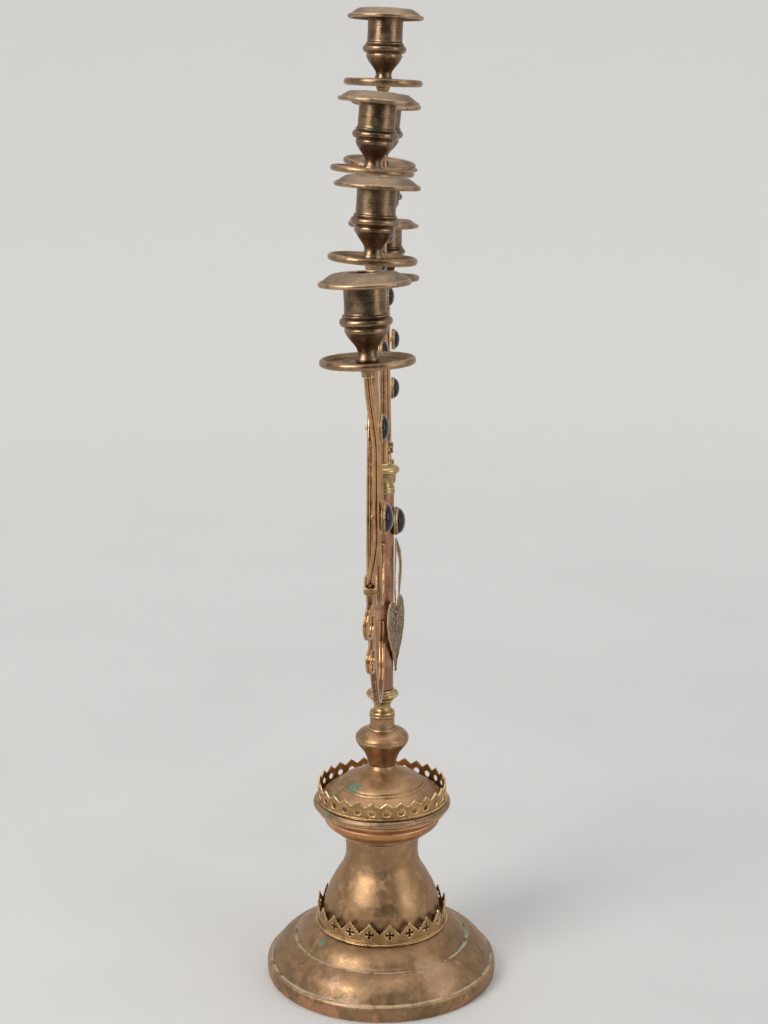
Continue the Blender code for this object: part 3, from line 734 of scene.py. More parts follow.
def neck_part(light):
    """Short coned sleeve that seats the band's end under its ferrule."""
    outline = [(0, -9.6, 0), (3.5, -9.6, 0.3), (3.9, -8.9, 0.3), (3.7, -8.2, 0.3), (4.0, -6.0, 0.5),
               (5.0, -3.7, 0.2), (0, -3.7, 0)]
    return moved(lathed(outline, 36, 0.5, 1.2), in_mm(light_frame(light)))


def build_ferrule(node, light):
    points, faces = joined([ferrule_part(light), neck_part(light)])
    build_piece(node + "_ferrule", points, faces, FITTING_BRASS, None, dent=0.04)


def build_bands():
    for side in SIGN:
        for arm in ARM_CURVES:
            light = side + "_" + arm
            node = arm + "_arm_" + side
            build_band(node, arm_path(side, arm, 40))
            build_ferrule(node, light)
        for link in LINK_CURVES:
            node = link + "_link_" + side
            build_band(node, link_path(side, link, 36))
        share = (SCROLL_THICKNESS / BAND_THICKNESS, SCROLL_WIDTH / BAND_WIDTH)
        build_band("scroll_" + side, scroll_path(side), share)
        build_clip(side)
    x, z, y = LIGHTS["top"][:3]
    low, high = 404.3, z - 2.6
    path = [Vector((0, y * eased(k / 80), low + (high - low) * k / 80)) for k in range(81)]
    build_band("upper_stem", path)
    build_ferrule("upper_stem", "top")


def build_clip(side):
    """Binding clip: a flat strap with rolled edges, bent round the arm and its link."""
    arm, link = arm_path(side, "outer"), link_path(side, "outer")
    beside, along = nearest_on(arm, link[0])
    top = link[0] + along * (CLIP_HEIGHT + 1.0)
    top_link, top_arm = nearest_on(link, top)[0], nearest_on(arm, top)[0]
    centre = (link[0] + beside + top_link + top_arm) / 4
    slack_x, slack_y, wall, corner = 0.9, 0.45, 0.55, 1.5
    half_x = (top_link - top_arm).length / 2 + BAND_THICKNESS / 2 + slack_x + wall
    half_y = BAND_WIDTH / 2 + slack_y + wall
    loop = []
    for cx, cy, start in ((1, 1, 0), (-1, 1, 90), (-1, -1, 180), (1, -1, 270)):
        for k in range(7):
            a = math.radians(start + 15 * k)
            loop.append((cx * (half_x - corner) + corner * math.cos(a),
                         cy * (half_y - corner) + corner * math.sin(a)))
    loop = rounded(loop, 0.05, 1.2)
    ahead = np.roll(loop, -1, axis=0) - np.roll(loop, 1, axis=0)
    ahead /= np.linalg.norm(ahead, axis=1)[:, None]
    outward = np.stack([ahead[:, 1], -ahead[:, 0]], axis=1)
    strap = rounded([(-0.55, -3.0), (0.55, -3.0, 0.3), (0.72, -2.3, 0.3), (0.36, -1.8, 0.3),
                     (0.36, 1.8, 0.3), (0.72, 2.3, 0.3), (0.55, 3.0, 0.3), (-0.55, 3.0)], 0.3, 0.8)
    points = np.zeros((len(loop), len(strap), 3))
    points[:, :, :2] = loop[:, None, :] + outward[:, None, :] * strap[None, :, 0, None]
    points[:, :, 2] = strap[None, :, 1]
    lean = Matrix.Rotation(math.atan2(along.x, along.z), 4, "Y")
    where = Matrix.Translation(centre * MM) @ lean
    build_piece("clip_" + side + "_strap", points.reshape(-1, 3), grid(len(loop), len(strap)),
                FITTING_BRASS, "clip_" + side, dent=0.05, place=where)
    lump, lump_faces = lathed([(0, -4.6, 0), (0.6, -4.4, 1), (1, 0, 3), (0.6, 4.4, 1), (0, 4.6, 0)],
                              40, 3.0, 0.5)
    lump[:, :2] *= (half_x - 0.9, half_y - 0.75)
    build_piece("clip_" + side + "_solder", lump, lump_faces, FITTING_BRASS, None, dent=0.9,
                dent_scale=260.0, place=where)


# ---------------------------------------------------------------- base stack

def build_base():
    foot = [(3.5, 41.5, 0.1), (49.8, 41.5, 1.5), (52.5, 40.6, 1.5), (57.5, 38.2), (62.0, 34.2),
            (64.3, 30.6, 1.0), (65.3, 29.5, 0.3), (65.9, 28.2, 0.3), (66.9, 28.0, 0.3), (67.6, 28.8, 0.5),
            (68.9, 28.4, 0.6), (75.0, 25.6, 4.0), (80.5, 20.8, 4.0), (83.6, 15.0, 1.5),
            (84.6, 13.0, 0.4), (85.2, 12.0, 0.3), (86.0, 12.0, 0.3), (86.6, 12.7, 0.4), (88.2, 11.6, 0.8),
            (88.9, 9.6, 1.0), (88.9, 4.4, 1.5), (88.4, 0.9, 0.5), (87.6, 0.0, 0.5), (85.0, 0.0, 0.4),
            (84.2, 1.0, 0.5), (84.2, 9.0), (81.0, 16.0), (74.0, 23.4), (64.0, 27.0), (60.4, 33.0),
            (52.0, 38.6), (48.0, 40.2), (3.5, 40.2, 0.1)]
    spun("foot_shell", foot, 192, FOOT_METAL, "foot", 5.0, dent=0.35)
    bell = [(3.5, 113.0, 0.1), (28.0, 113.0, 0.4), (28.6, 112.4, 0.3), (28.1, 106.0), (27.7, 98.0),
            (29.4, 89.0), (35.0, 80.5), (41.7, 68.0), (44.6, 58.0), (45.0, 50.0), (43.6, 41.9, 0.3),
            (42.3, 41.9, 0.3), (43.6, 51.0), (40.4, 67.4), (33.9, 79.6), (28.2, 88.4), (26.4, 98.0),
            (27.0, 111.7), (3.5, 111.7, 0.1)]
    spun("bell_shell", bell, 144, BRONZE, "bell", 7.0, dent=0.35)
    lip = [(3.5, 141.6, 0.1), (49.4, 141.6, 0.6), (51.6, 141.0, 1.0), (52.9, 139.0, 1.4),
           (52.6, 137.0, 0.9), (51.2, 136.2, 0.4), (50.4, 135.9, 0.15), (50.2, 135.5, 0.1),
           (50.5, 135.1, 0.3), (50.0, 133.6, 1.0), (48.0, 131.2, 1.2), (45.7, 129.9, 0.4),
           (44.7, 129.4, 0.15), (44.6, 129.0, 0.1), (45.0, 128.5, 0.3), (44.9, 127.0, 1.0),
           (44.0, 124.0, 1.2), (41.2, 121.3, 0.5), (40.4, 120.7, 0.15), (37.0, 120.1, 0.5),
           (35.9, 119.4, 0.4), (35.6, 116.6, 0.6), (33.0, 115.2, 1.0), (30.2, 113.4, 0.3),
           (26.0, 113.4, 0.1), (26.0, 114.6, 0.1), (29.8, 115.8, 0.5), (33.6, 117.8, 0.5),
           (34.4, 121.2, 0.8), (40.0, 122.6), (42.4, 125.6), (43.0, 130.0), (46.6, 132.8), (48.8, 136.0),
           (50.9, 138.6), (49.0, 140.3, 1.0), (3.5, 140.3, 0.1)]
    spun("lip_shell", lip, 176, LIP_METAL, "lip", 3.0, dent=0.22)
    dome = [(3.5, 169.0, 0.1), (10.7, 169.0, 0.2), (11.6, 167.0, 0.8), (14.0, 164.8, 2.0),
            (18.0, 162.2, 3.0), (22.0, 160.2, 3.0), (27.0, 158.0, 3.0), (30.6, 156.2, 0.8),
            (31.4, 155.2, 0.3), (31.6, 154.5, 0.2), (32.6, 154.2, 0.4), (33.2, 153.6, 0.3),
            (33.4, 153.0, 0.15), (34.2, 152.8, 0.3), (40.5, 149.2, 3.0), (45.0, 145.6, 1.5),
            (46.6, 143.4, 0.8), (47.1, 142.0, 0.3), (45.9, 142.0, 0.2), (44.9, 144.0), (39.8, 147.8),
            (32.0, 151.4), (30.2, 154.2), (21.4, 158.4), (13.0, 163.0), (10.0, 166.6), (3.5, 167.0, 0.1)]
    spun("dome_cover", dome, 144, BRONZE, "dome", 3.0, dent=0.25)
    knop = [(3.5, 209.0, 0.1), (9.4, 209.0, 0.4), (9.9, 208.4, 0.3), (9.8, 207.4, 0.3),
            (9.3, 206.6, 0.3), (9.3, 201.0, 1.0), (9.7, 199.0, 0.5), (11.0, 198.2, 0.4),
            (11.2, 197.4, 0.3), (14.0, 196.4, 2.0), (17.6, 194.8, 2.0), (20.0, 192.0, 1.5),
            (20.4, 190.6, 0.4), (20.1, 190.0, 0.15), (20.4, 189.4, 0.4), (20.0, 187.2, 1.5),
            (17.4, 183.6, 2.0), (14.2, 179.8, 2.0), (12.1, 175.4, 2.0), (10.9, 171.4, 1.5),
            (10.7, 169.8, 0.3), (10.4, 169.4, 0.15), (3.5, 169.4, 0.1)]
    spun("knop_turning", knop, 112, BRONZE, "knop", 2.0, dent=0.10, gap=1.4)
    collar = [(3.5, 240.0, 0.1), (7.0, 240.0, 0.2), (7.0, 229.0, 0.2), (9.0, 229.0, 0.3),
              (9.5, 228.4, 0.3), (9.3, 227.8, 0.2), (11.2, 227.0, 0.5), (12.4, 225.6, 0.6),
              (12.4, 224.4, 0.6), (11.3, 222.9, 0.6), (9.0, 222.0, 0.3), (8.6, 221.2, 0.3),
              (8.8, 220.4, 0.4), (7.6, 219.2, 1.0), (6.2, 216.0, 1.5), (6.4, 213.4, 1.0),
              (7.8, 212.0, 0.4), (9.3, 211.4, 0.5), (9.7, 210.4, 0.4), (9.5, 209.4, 0.2),
              (3.5, 209.4, 0.1)]
    spun("neck_turning", collar, 96, TURNED_BRASS, "neck_collar", 1.5, dent=0.06, gap=1.2)
    tube = [(7.35, 381.0, 0.1), (8.1, 381.0, 0.15), (8.25, 380.6, 0.15), (8.25, 229.8, 0.15),
            (8.1, 229.4, 0.15), (7.35, 229.4, 0.1)]
    spun("stem_tube_copper", tube, 80, TUBE_COPPER, "stem_tube", 0.3, dent=0.12, gap=3.0)
    top = [(0, 404.0, 0), (4.9, 404.0, 0.4), (5.5, 403.4, 0.3), (6.2, 402.4, 0.5), (10.8, 401.5, 0.6),
           (12.2, 400.0, 0.6), (12.2, 398.4, 0.6), (11.0, 396.9, 0.5), (9.2, 396.2, 0.3),
           (8.8, 395.4, 0.3), (8.9, 394.8, 0.2), (7.8, 394.0, 0.8), (7.2, 391.4, 1.5),
           (7.4, 388.4, 1.0), (8.4, 386.4, 0.4), (8.8, 385.4, 0.4), (8.5, 384.4, 0.2),
           (8.9, 383.4, 0.3), (8.8, 381.4, 0.2), (7.0, 381.4, 0.2), (7.0, 370.0, 0.3), (0, 370.0, 0)]
    spun("top_turning", top, 96, TURNED_BRASS, "top_collar", 1.2, dent=0.05, gap=1.2)


def build_tie():
    """Threaded rod, washer and hexagon nut under the foot's crown."""
    pitch, thread_depth, half_flat = 1.25, 0.45, 6.5
    rows = [(0.0, 26.0), (2.2, 26.0)] + [(3.0, 26.8 + 0.25 * k) for k in range(96)]
    rows += [(3.0, 60.0), (3.0, 236.0), (0.0, 236.0)]
    profile = np.array(rows)

    def thread(radius, height, turn):
        wave = np.abs(((height / pitch - turn / TURN) % 1.0) * 2 - 1)
        cut = np.where((height > 26.5) & (height < 50.0) & (radius > 2.5), wave * thread_depth, 0.0)
        return radius - cut, height

    points, faces, along = turned(profile, 28, thread)
    build_piece("tie_rod_threaded", points, faces, STEEL, "tie_rod", along=along)
    washer = [(3.5, 39.9, 0.1), (17.6, 39.9, 0.3), (18.0, 39.4, 0.3), (18.0, 37.9, 0.4),
              (17.4, 37.4, 0.4), (4.0, 37.4, 0.3), (3.5, 37.8, 0.3)]
    spun("tie_washer_disc", washer, 72, STEEL, "tie_washer", 0.4, dent=0.05)
    profile = rounded([(3.5, 37.1, 0.1), (7.4, 37.1, 0.2), (7.5, 36.9, 0.1), (7.5, 32.3, 0.2),
                       (6.9, 31.1, 0.2), (3.9, 31.1, 0.2), (3.5, 31.5, 0.1)], 0.3, 0.6)

    def hexagon(radius, height, turn):
        within = ((turn + math.pi / 6) % (math.pi / 3)) - math.pi / 6
        flat = half_flat / np.cos(within)
        return np.where(radius > 5.0, np.minimum(radius, flat), radius), height

    points, faces, along = turned(profile, 96, hexagon)
    build_piece("tie_nut_hexagon", points, faces, STEEL, "tie_nut", along=along, sharp=25.0)


# ---------------------------------------------------------------- pierced galleries

def inside(loop, point):
    x, y = point
    hit = False
    for (x0, y0), (x1, y1) in zip(loop, loop[1:] + loop[:1]):
        if (y0 > y) != (y1 > y) and x < (x1 - x0) * (y - y0) / (y1 - y0) + x0:
            hit = not hit
    return hit


def gap_to(loop, point):
    nearest = 1e9
    for start, end in zip(loop, loop[1:] + loop[:1]):
        edge = (end[0] - start[0], end[1] - start[1])
        length = edge[0] ** 2 + edge[1] ** 2
        share = ((point[0] - start[0]) * edge[0] + (point[1] - start[1]) * edge[1]) / max(length, 1e-9)
        share = min(max(share, 0.0), 1.0)
        nearest = min(nearest, math.hypot(point[0] - start[0] - share * edge[0],
                                          point[1] - start[1] - share * edge[1]))
    return nearest


def fine(loop):
    """A loop with points added along its long edges."""
    full, gap = [], 0.55
    for start, end in zip(loop, loop[1:] + loop[:1]):
        parts = max(1, math.ceil(math.dist(start, end) / gap))
        full += [(start[0] + (end[0] - start[0]) * k / parts, start[1] + (end[1] - start[1]) * k / parts)
                 for k in range(parts)]
    return full


def bay_part(outline, holes, half):
    """Triangles of one flat bay, and how far each point lies from the cut edges."""
    outline = fine(outline)
    holes = [fine(hole) for hole in holes]
    points, edges = [], []
    for loop in [outline] + holes:
        start = len(points)
        points += loop
        edges += [(start + i, start + (i + 1) % len(loop)) for i in range(len(loop))]
    low, high = min(p[1] for p in outline), max(p[1] for p in outline)
    extra = []
    step, clear = 0.62, 0.28
    rows = int((high - low) / step) + 1
    columns = int(2 * half / step) + 1
    for row in range(1, rows):
        for column in range(1, columns):
            place = (-half + column * 2 * half / columns, low + row * (high - low) / rows)
            if not inside(outline, place) or gap_to(outline, place) < clear:
                continue
            if any(inside(hole, place) or gap_to(hole, place) < clear for hole in holes):
                continue
            extra.append(place)
    found = delaunay_2d_cdt([Vector(p) for p in points + extra], edges, [], 0, 1e-6, False)
    flat = [(v.x, v.y) for v in found[0]]
    faces = []
    for face in found[2]:
        middle = (sum(flat[i][0] for i in face) / 3, sum(flat[i][1] for i in face) / 3)
        if inside(outline, middle) and not any(inside(hole, middle) for hole in holes):
            faces.append(list(face))
    reach = []
    for place in flat:
        if abs(abs(place[0]) - half) < 1e-4 and gap_to(outline, place) < 1e-4:
            near = min(gap_to([p for p in outline if abs(abs(p[0]) - half) > 1e-4] or outline, place), 9.0)
        else:
            near = min(gap_to(rim, place) for rim in [outline] + holes)
        reach.append(near)
    return flat, faces, reach


def gallery_part(radius, wall, bays, turned_by, outline, holes, relief):
    """Closed pierced ring: the bay bent round the axis and repeated, with softened cut edges."""
    half = math.pi * radius / bays
    flat, faces, reach = bay_part(outline, holes, half)
    count = len(flat)
    used = {}
    for face in faces:
        for start, end in zip(face, face[1:] + face[:1]):
            key = (min(start, end), max(start, end))
            used[key] = used.get(key, 0) + 1
    border = {key for key, times in used.items() if times == 1
              and not (abs(abs(flat[key[0]][0]) - half) < 1e-4 and abs(abs(flat[key[1]][0]) - half) < 1e-4
                       and flat[key[0]][0] * flat[key[1]][0] > 0)}
    rim = {i for key in border for i in key}
    points, all_faces = [], []
    for bay in range(bays):
        start = bay * 2 * count
        middle = math.radians(turned_by) + bay * TURN / bays
        for layer in (0, 1):
            for index, (u, z) in enumerate(flat):
                soft = 0.22 if index in rim else 0.0
                r = radius - soft + relief(z, reach[index]) if layer == 0 else radius - wall + soft
                turn = middle + u / radius
                points.append((r * math.cos(turn), r * math.sin(turn), z))
        for a, b, c in faces:
            all_faces.append((start + a, start + b, start + c))
            all_faces.append((start + count + c, start + count + b, start + count + a))
        for a, b in border:
            all_faces.append((start + a, start + b, start + count + b, start + count + a))
    return np.array(points), all_faces


def cross_hole(x, y, lobe, reach):
    """Outline of four small round lobes joined by narrow cuts."""
    points = []
    for arm in range(4):
        axis = math.pi / 2 * arm
        cx, cy = x + reach * math.cos(axis), y + reach * math.sin(axis)
        for k in range(9):
            angle = axis + math.radians(-128 + 32 * k)
            points.append((cx + lobe * math.cos(angle), cy + lobe * math.sin(angle)))
        corner = axis + math.pi / 4
        points.append((x + 0.85 * math.cos(corner), y + 0.85 * math.sin(corner)))
    return points


def bead_ring(radius, height, size, beads):
    """Beaded wire bent into a ring."""
    steps, sides, pinch = beads * 8, 10, 0.38
    turn = np.arange(steps) * TURN / steps
    swell = size * (1 - pinch * (1 - np.abs(np.sin(turn * beads / 2)) ** 0.8))
    angle = np.arange(sides) * TURN / sides
    r = radius + swell[:, None] * np.cos(angle)[None, :]
    z = height + swell[:, None] * np.sin(angle)[None, :]
    points = np.stack([r * np.cos(turn)[:, None], r * np.sin(turn)[:, None], z], axis=2).reshape(-1, 3)
    return points, grid(steps, sides)


def mirrored(points):
    """A half outline from left to middle, completed on the right."""
    return points + [(-x, y) for x, y in reversed(points) if abs(x) > 1e-6]


def build_gallery(name, sizes, top, holes, relief, rings, dent):
    """Gallery with its beaded wire and plain lines; top runs from the left notch to the middle."""
    radius, low, notch, bays, turn = sizes.values()
    half = math.pi * radius / bays
    outline = [(-half, low)] + mirrored([(-half, notch)] + top) + [(half, low)]
    body = gallery_part(radius, GALLERY_WALL, bays, turn, outline, holes, relief)
    points, faces = joined([body] + rings)
    build_piece(name + "_pierced", points, faces, GALLERY_BRASS, name, dent=dent,
                dent_scale=40.0, sharp=48.0)


def build_galleries():
    top = [(-7.0, 51.1), (-6.7, 52.5), (-5.2, 52.8), (-4.8, 54.3), (-3.4, 54.6), (-3.0, 56.2),
           (-1.6, 56.5), (-1.2, 58.2), (-0.6, 59.1), (0.0, 59.3)]
    rings = [bead_ring(50.75, 43.0, 0.62, 150),
             lathed([(50.0, 41.8), (51.3, 41.8), (51.5, 42.3), (50.9, 42.6), (50.0, 42.6)], RING_STEPS),
             lathed([(50.0, 44.2), (50.7, 44.2), (50.8, 44.6), (50.6, 44.9), (50.0, 44.9)], RING_STEPS)]

    def foot_relief(height, reach):
        """Thicker band along the foot."""
        return 0.35 * min(max(44.6 - height, 0.0), 1.0)

    build_gallery("foot_gallery", FOOT_GALLERY, top, [cross_hole(0.0, 50.4, 1.08, 2.5)], foot_relief,
                  rings, 0.25)

    left = -math.pi * LIP_GALLERY["radius"] / LIP_GALLERY["bays"]
    top = [(left + 0.5, 152.2), (-0.6, 155.4), (0.0, 156.0)]
    angles = [math.pi / 2 + TURN * k / 5 for k in range(5)]
    pentagon = [(3.0 * math.cos(a), 147.4 + 2.65 * math.sin(a)) for a in angles]
    holes = [[tuple(p) for p in rounded(pentagon, 1.3, 0.6)]]
    rings = [bead_ring(50.0, 143.1, 0.55, 170),
             lathed([(49.2, 141.9), (50.3, 141.9), (50.5, 142.3), (50.0, 142.6), (49.2, 142.6)], RING_STEPS)]

    def lip_relief(height, reach):
        """Thicker band along the foot, and a raised line beside every cut edge."""
        line = 0.25 * math.exp(-((reach - 0.55) / 0.3) ** 2)
        return 0.3 * min(max((144.0 - height) / 0.8, 0.0), 1.0) + line

    build_gallery("lip_gallery", LIP_GALLERY, top, holes, lip_relief, rings, 0.22)


# ---------------------------------------------------------------- lights

def build_light(light):
    place = light_frame(light)
    pan = [(3.5, -0.3, 0.1), (12.0, -0.3, 1.0), (14.0, -0.3, 0.5), (14.6, 0.1, 0.3), (15.4, 0.1, 0.3),
           (16.0, -0.35, 0.5), (22.4, -0.3, 1.2), (24.0, 0.9, 1.0), (25.1, 2.1, 0.8), (26.7, 2.4, 0.9),
           (28.0, 1.4, 0.9), (28.3, -0.2, 0.9), (27.8, -1.6, 0.9), (26.4, -2.4, 0.9), (25.0, -2.1, 0.7),
           (24.2, -1.5, 0.5), (22.6, -1.3, 0.5), (3.5, -1.3, 0.1)]
    spun("pan_" + light + "_spun", pan, 120, PAN_BRONZE, "pan_" + light, 1.2, dent=0.22,
         place=place, gap=1.6)
    cup = [(11.7, 49.5, 0.15), (12.2, 49.5, 0.2), (12.5, 49.2, 0.2), (12.5, 28.6, 0.6),
           (12.8, 27.6, 0.4), (13.6, 27.3, 0.2), (13.8, 26.8, 0.2), (13.4, 26.2, 0.2), (14.4, 25.6, 0.7),
           (15.6, 24.2, 0.9), (15.6, 22.4, 0.9), (14.4, 20.9, 0.7), (12.8, 20.2, 0.2),
           (12.5, 19.7, 0.15), (12.9, 19.1, 0.4), (12.8, 17.6, 1.0), (11.0, 14.2, 2.5),
           (7.8, 10.4, 2.5), (5.9, 7.6, 2.0), (5.6, 5.2, 1.5), (6.2, 3.2, 1.0), (6.9, 1.8, 0.8),
           (7.0, 0.4, 0.2), (6.8, 0.1, 0.1), (3.2, 0.1, 0.1), (3.2, 16.0, 0.1), (11.7, 22.0, 1.0)]
    spun("cup_" + light + "_turned", cup, 104, CUP_BRONZE, "cup_" + light, 1.2, dent=0.10,
         place=place, gap=1.6)
    ring = [(10.2, 51.3, 0.2), (10.9, 51.7, 0.2), (11.7, 51.5, 0.3), (12.1, 51.05, 0.2),
            (15.6, 51.0, 0.5), (16.1, 51.25, 0.2), (16.6, 51.0, 0.2), (19.2, 51.0, 1.0),
            (22.6, 48.9, 1.5), (25.2, 46.9, 0.6), (26.1, 46.9, 0.5), (27.1, 46.1, 0.5),
            (27.1, 44.7, 0.5), (26.3, 43.8, 0.5), (25.3, 43.9, 0.4), (24.9, 44.9, 0.4),
            (18.8, 49.7, 0.8), (10.9, 49.8, 0.2), (10.9, 36.0, 0.15), (10.2, 36.0, 0.15)]
    spun("bobeche_" + light + "_ring", ring, 120, RING_BRONZE, "bobeche_" + light, 1.0,
         body="candle_ring_" + light, dent=0.28, place=place, gap=1.6)


# ---------------------------------------------------------------- ornament

def jewel_parts(diameter, stand_off):
    """Brass setting with a toothed rim, on a post if it stands off its band, and the glass dome."""
    radius = diameter / 2
    post = [(0, -stand_off, 0), (1.6, -stand_off, 0.1), (1.9, -0.6, 0.5)] if stand_off else []
    setting = rounded(post + [
        (1.9 if post else 0, 0, 0), (radius + 0.5, 0, 0.3), (radius + 0.8, 0.4, 0.2),
        (radius + 0.8, 0.9, 0.2), (radius + 0.3, 1.2, 0.2), (radius + 0.5, 2.2, 0.3),
        (radius + 0.1, 2.9, 0.2), (radius - 0.5, 2.9, 0.2), (radius - 0.6, 1.4, 0.1), (0, 1.4, 0)], 0.3, 0.5)
    teeth = int(diameter * 2.2)

    def toothed(r, z, turn):
        wave = 0.5 + 0.5 * np.cos(turn * teeth)
        return r + np.where((z > 1.9) & (r > radius - 0.3), 0.18 * wave, 0.0), np.where(
            z > 2.3, z - 0.42 * (1 - wave), z)

    dome_height = DOME_SHARE * diameter
    dome = [(0.0, 1.5), (radius - 0.7, 1.5), (radius - 0.5, 1.9)]
    dome += [(radius * math.cos(a) - 0.3 * (1 - math.sin(a)), 2.3 + (dome_height - 2.3) * math.sin(a))
             for a in (math.radians(5 * k) for k in range(0, 18))]
    dome.append((0.0, dome_height))
    return turned(setting, teeth * 6, toothed)[:2], turned(np.array(dome), 72)[:2]


def rivet_part(radius, rise):
    return lathed([(0, 0, 0), (radius, 0, 0.1), (radius * 0.96, rise * 0.4, 0.3),
                   (radius * 0.6, rise * 0.9, 0.4), (0, rise, 0)], 24, 0.5, 0.6)


def build_jewels():
    places = {"jewel_centre": (Vector((0, -(TUBE_R + GAP), 360.0)), 20.0, 0.0, None)}
    for side in SIGN:
        sign = SIGN[side]
        for number, (x, z, diameter, stand_off, kind, band) in JEWELS.items():
            path = arm_path(side, band) if kind == "arm" else link_path(side, band)
            y = y_on(path, sign * x, z, diameter / 2) - BAND_WIDTH / 2 - GAP - stand_off
            places["jewel_" + side + "_" + number] = (Vector((sign * x, y, z)), diameter, stand_off, path)
    face_front = Matrix.Rotation(math.radians(90), 4, "X")
    face_back = Matrix.Rotation(math.radians(-90), 4, "X")
    for node, (place, diameter, stand_off, path) in places.items():
        setting, dome = jewel_parts(diameter, stand_off)
        where = Matrix.Translation(place * MM) @ face_front
        build_piece(node + "_setting", setting[0], setting[1], FITTING_BRASS, node, place=where,
                    dent=0.05, sharp=40.0)
        build_piece(node + "_glass", dome[0], dome[1], GLASS, node, place=where)
        if path is None:
            continue
        on_band = nearest_on(path, Vector((place.x, 0.0, place.z)))[0]
        behind = Matrix.Translation(Vector((on_band.x, on_band.y + BAND_WIDTH / 2 - GAP, on_band.z)))
        part = moved(rivet_part(1.7, 1.5), behind @ face_back)
        build_piece(node + "_rivet", part[0], part[1], FITTING_BRASS, None, dent=0.05)


def heart(t):
    """Heart-shaped outline of the leaf, tip down: across and up, in millimetres."""
    across = 16 * math.sin(t) ** 3
    up = 13 * math.cos(t) - 5 * math.cos(2 * t) - 2 * math.cos(3 * t) - math.cos(4 * t)
    return across * LEAF_WIDTH / 32, (up - 12) * LEAF_LENGTH / 29


def build_leaf():
    """Stamped vine leaf: ribbed from its stalk's root, with a beaded and scalloped edge."""
    rings, around = 34, 260
    root = (0.0, -12.0)
    veins = [(0.0, -56.0), (-11.0, -40.0), (11.0, -40.0), (-19.0, -19.0), (19.0, -19.0), (-15.0, -4.0),
             (15.0, -4.0), (-6.5, 0.5), (6.5, 0.5)]
    front, back = [], []
    for ring in range(rings + 1):
        share = ring / rings
        for k in range(around):
            t = TURN * k / around
            across, up = heart(t)
            scallop = 1.0 - 0.018 * (1 + math.cos(22 * t)) * share ** 4
            x = root[0] + (across - root[0]) * share * scallop
            z = root[1] + (up - root[1]) * share * scallop
            height = 0.0
            for vein in veins:
                end = (vein[0] - root[0], vein[1] - root[1])
                length = end[0] ** 2 + end[1] ** 2
                along = ((x - root[0]) * end[0] + (z - root[1]) * end[1]) / length
                along = min(max(along, 0.0), 1.0)
                off = math.hypot(x - root[0] - along * end[0], z - root[1] - along * end[1])
                width = 1.0 - 0.55 * along
                height = max(height, (1.0 - 0.4 * along) * math.exp(-(off / width) ** 2))
                twig = math.sin(along * 26.0 + off * 0.9)
                height = max(height, 0.28 * max(twig, 0.0) ** 3 * math.exp(-(off / 5.0) ** 2))
            rim = math.exp(-((share - 0.975) / 0.022) ** 2)
            bead = rim * (0.55 + 0.45 * math.cos(96 * t))
            cup = -1.1 * share ** 2 + 0.5 * math.cos(3 * t) * share ** 3
            y = -(0.75 * height + 0.7 * bead + cup + 0.1)
            front.append((x, y + 0.1, z))
            back.append((x, y + 1.15 - 0.35 * bead, z))
    rows = rings + 1
    sheet = grid(rows, around, False, True).tolist()
    offset = len(front)
    faces = sheet + [[i + offset for i in reversed(face)] for face in sheet]
    last = rings * around
    for k in range(around):
        following = (k + 1) % around
        faces.append([last + k, last + following, last + following + offset, last + k + offset])
    place = (Matrix.Translation(Vector((0, -11.4, 300.0)) * MM)
             @ Matrix.Rotation(math.radians(-14), 4, "Z"))
    build_piece("leaf_stamped", np.array(front + back), faces, LEAF_METAL, "leaf", place=place,
                sharp=70.0)


def smooth_path(points, steps):
    """Points along an even spline through the given places."""
    places = [np.array(p, dtype=float) for p in points]
    places = [2 * places[0] - places[1]] + places + [2 * places[-1] - places[-2]]
    path = []
    for p0, p1, p2, p3 in zip(places, places[1:], places[2:], places[3:]):
        for k in range(steps):
            t = k / steps
            path.append(0.5 * (2 * p1 + (p2 - p0) * t + (2 * p0 - 5 * p1 + 4 * p2 - p3) * t * t
                               + (3 * p1 - p0 - 3 * p2 + p3) * t ** 3))
    path.append(places[-2])
    return np.array(path)


def build_stalk():
    """Folded bud on its stalk, and a thin wire beside it."""
    bud = smooth_path([(1.0, -9.8, 347), (1.6, -11.8, 338), (2.0, -13.2, 326), (2.0, -12.6, 312),
                       (1.8, -12.2, 299)], 14)
    count = 28
    angle = np.arange(count) * TURN / count
    section = np.stack([1.3 * np.cos(angle) * (1 + 0.12 * np.cos(6 * angle)),
                        2.4 * np.sin(angle) * (1 + 0.12 * np.cos(6 * angle))], axis=1)
    t = np.linspace(0.0, 1.0, len(bud))
    swell = 0.36 + 0.62 * np.exp(-((t - 0.30) / 0.16) ** 2) + 0.42 * np.exp(-((t - 0.66) / 0.20) ** 2)
    swell *= np.clip(np.minimum(t, 1 - t) * 26, 0.25, 1.0) ** 0.5
    parts = [swept(bud, section, swell, (1.0, 0.0, 0.0))]
    wire = smooth_path([(0.4, -9.8, 347), (-4.4, -9.6, 330), (-9.4, -9.4, 312), (-11.6, -10.2, 296)], 40)
    thin = np.stack([0.85 * np.cos(angle), 0.85 * np.sin(angle)], axis=1)
    ends = np.minimum(np.linspace(0, 1, len(wire)), np.linspace(1, 0, len(wire)))
    beads = np.clip(ends * 40, 0.3, 1.0) * (0.8 + 0.2 * np.cos(np.arange(len(wire)) * TURN / 5))
    parts.append(swept(wire, thin, beads))
    points, faces = joined(parts)
    build_piece("leaf_stalk_bud", points, faces, FITTING_BRASS, "leaf_stalk", dent=0.12,
                dent_scale=120.0)


# ---------------------------------------------------------------- stage

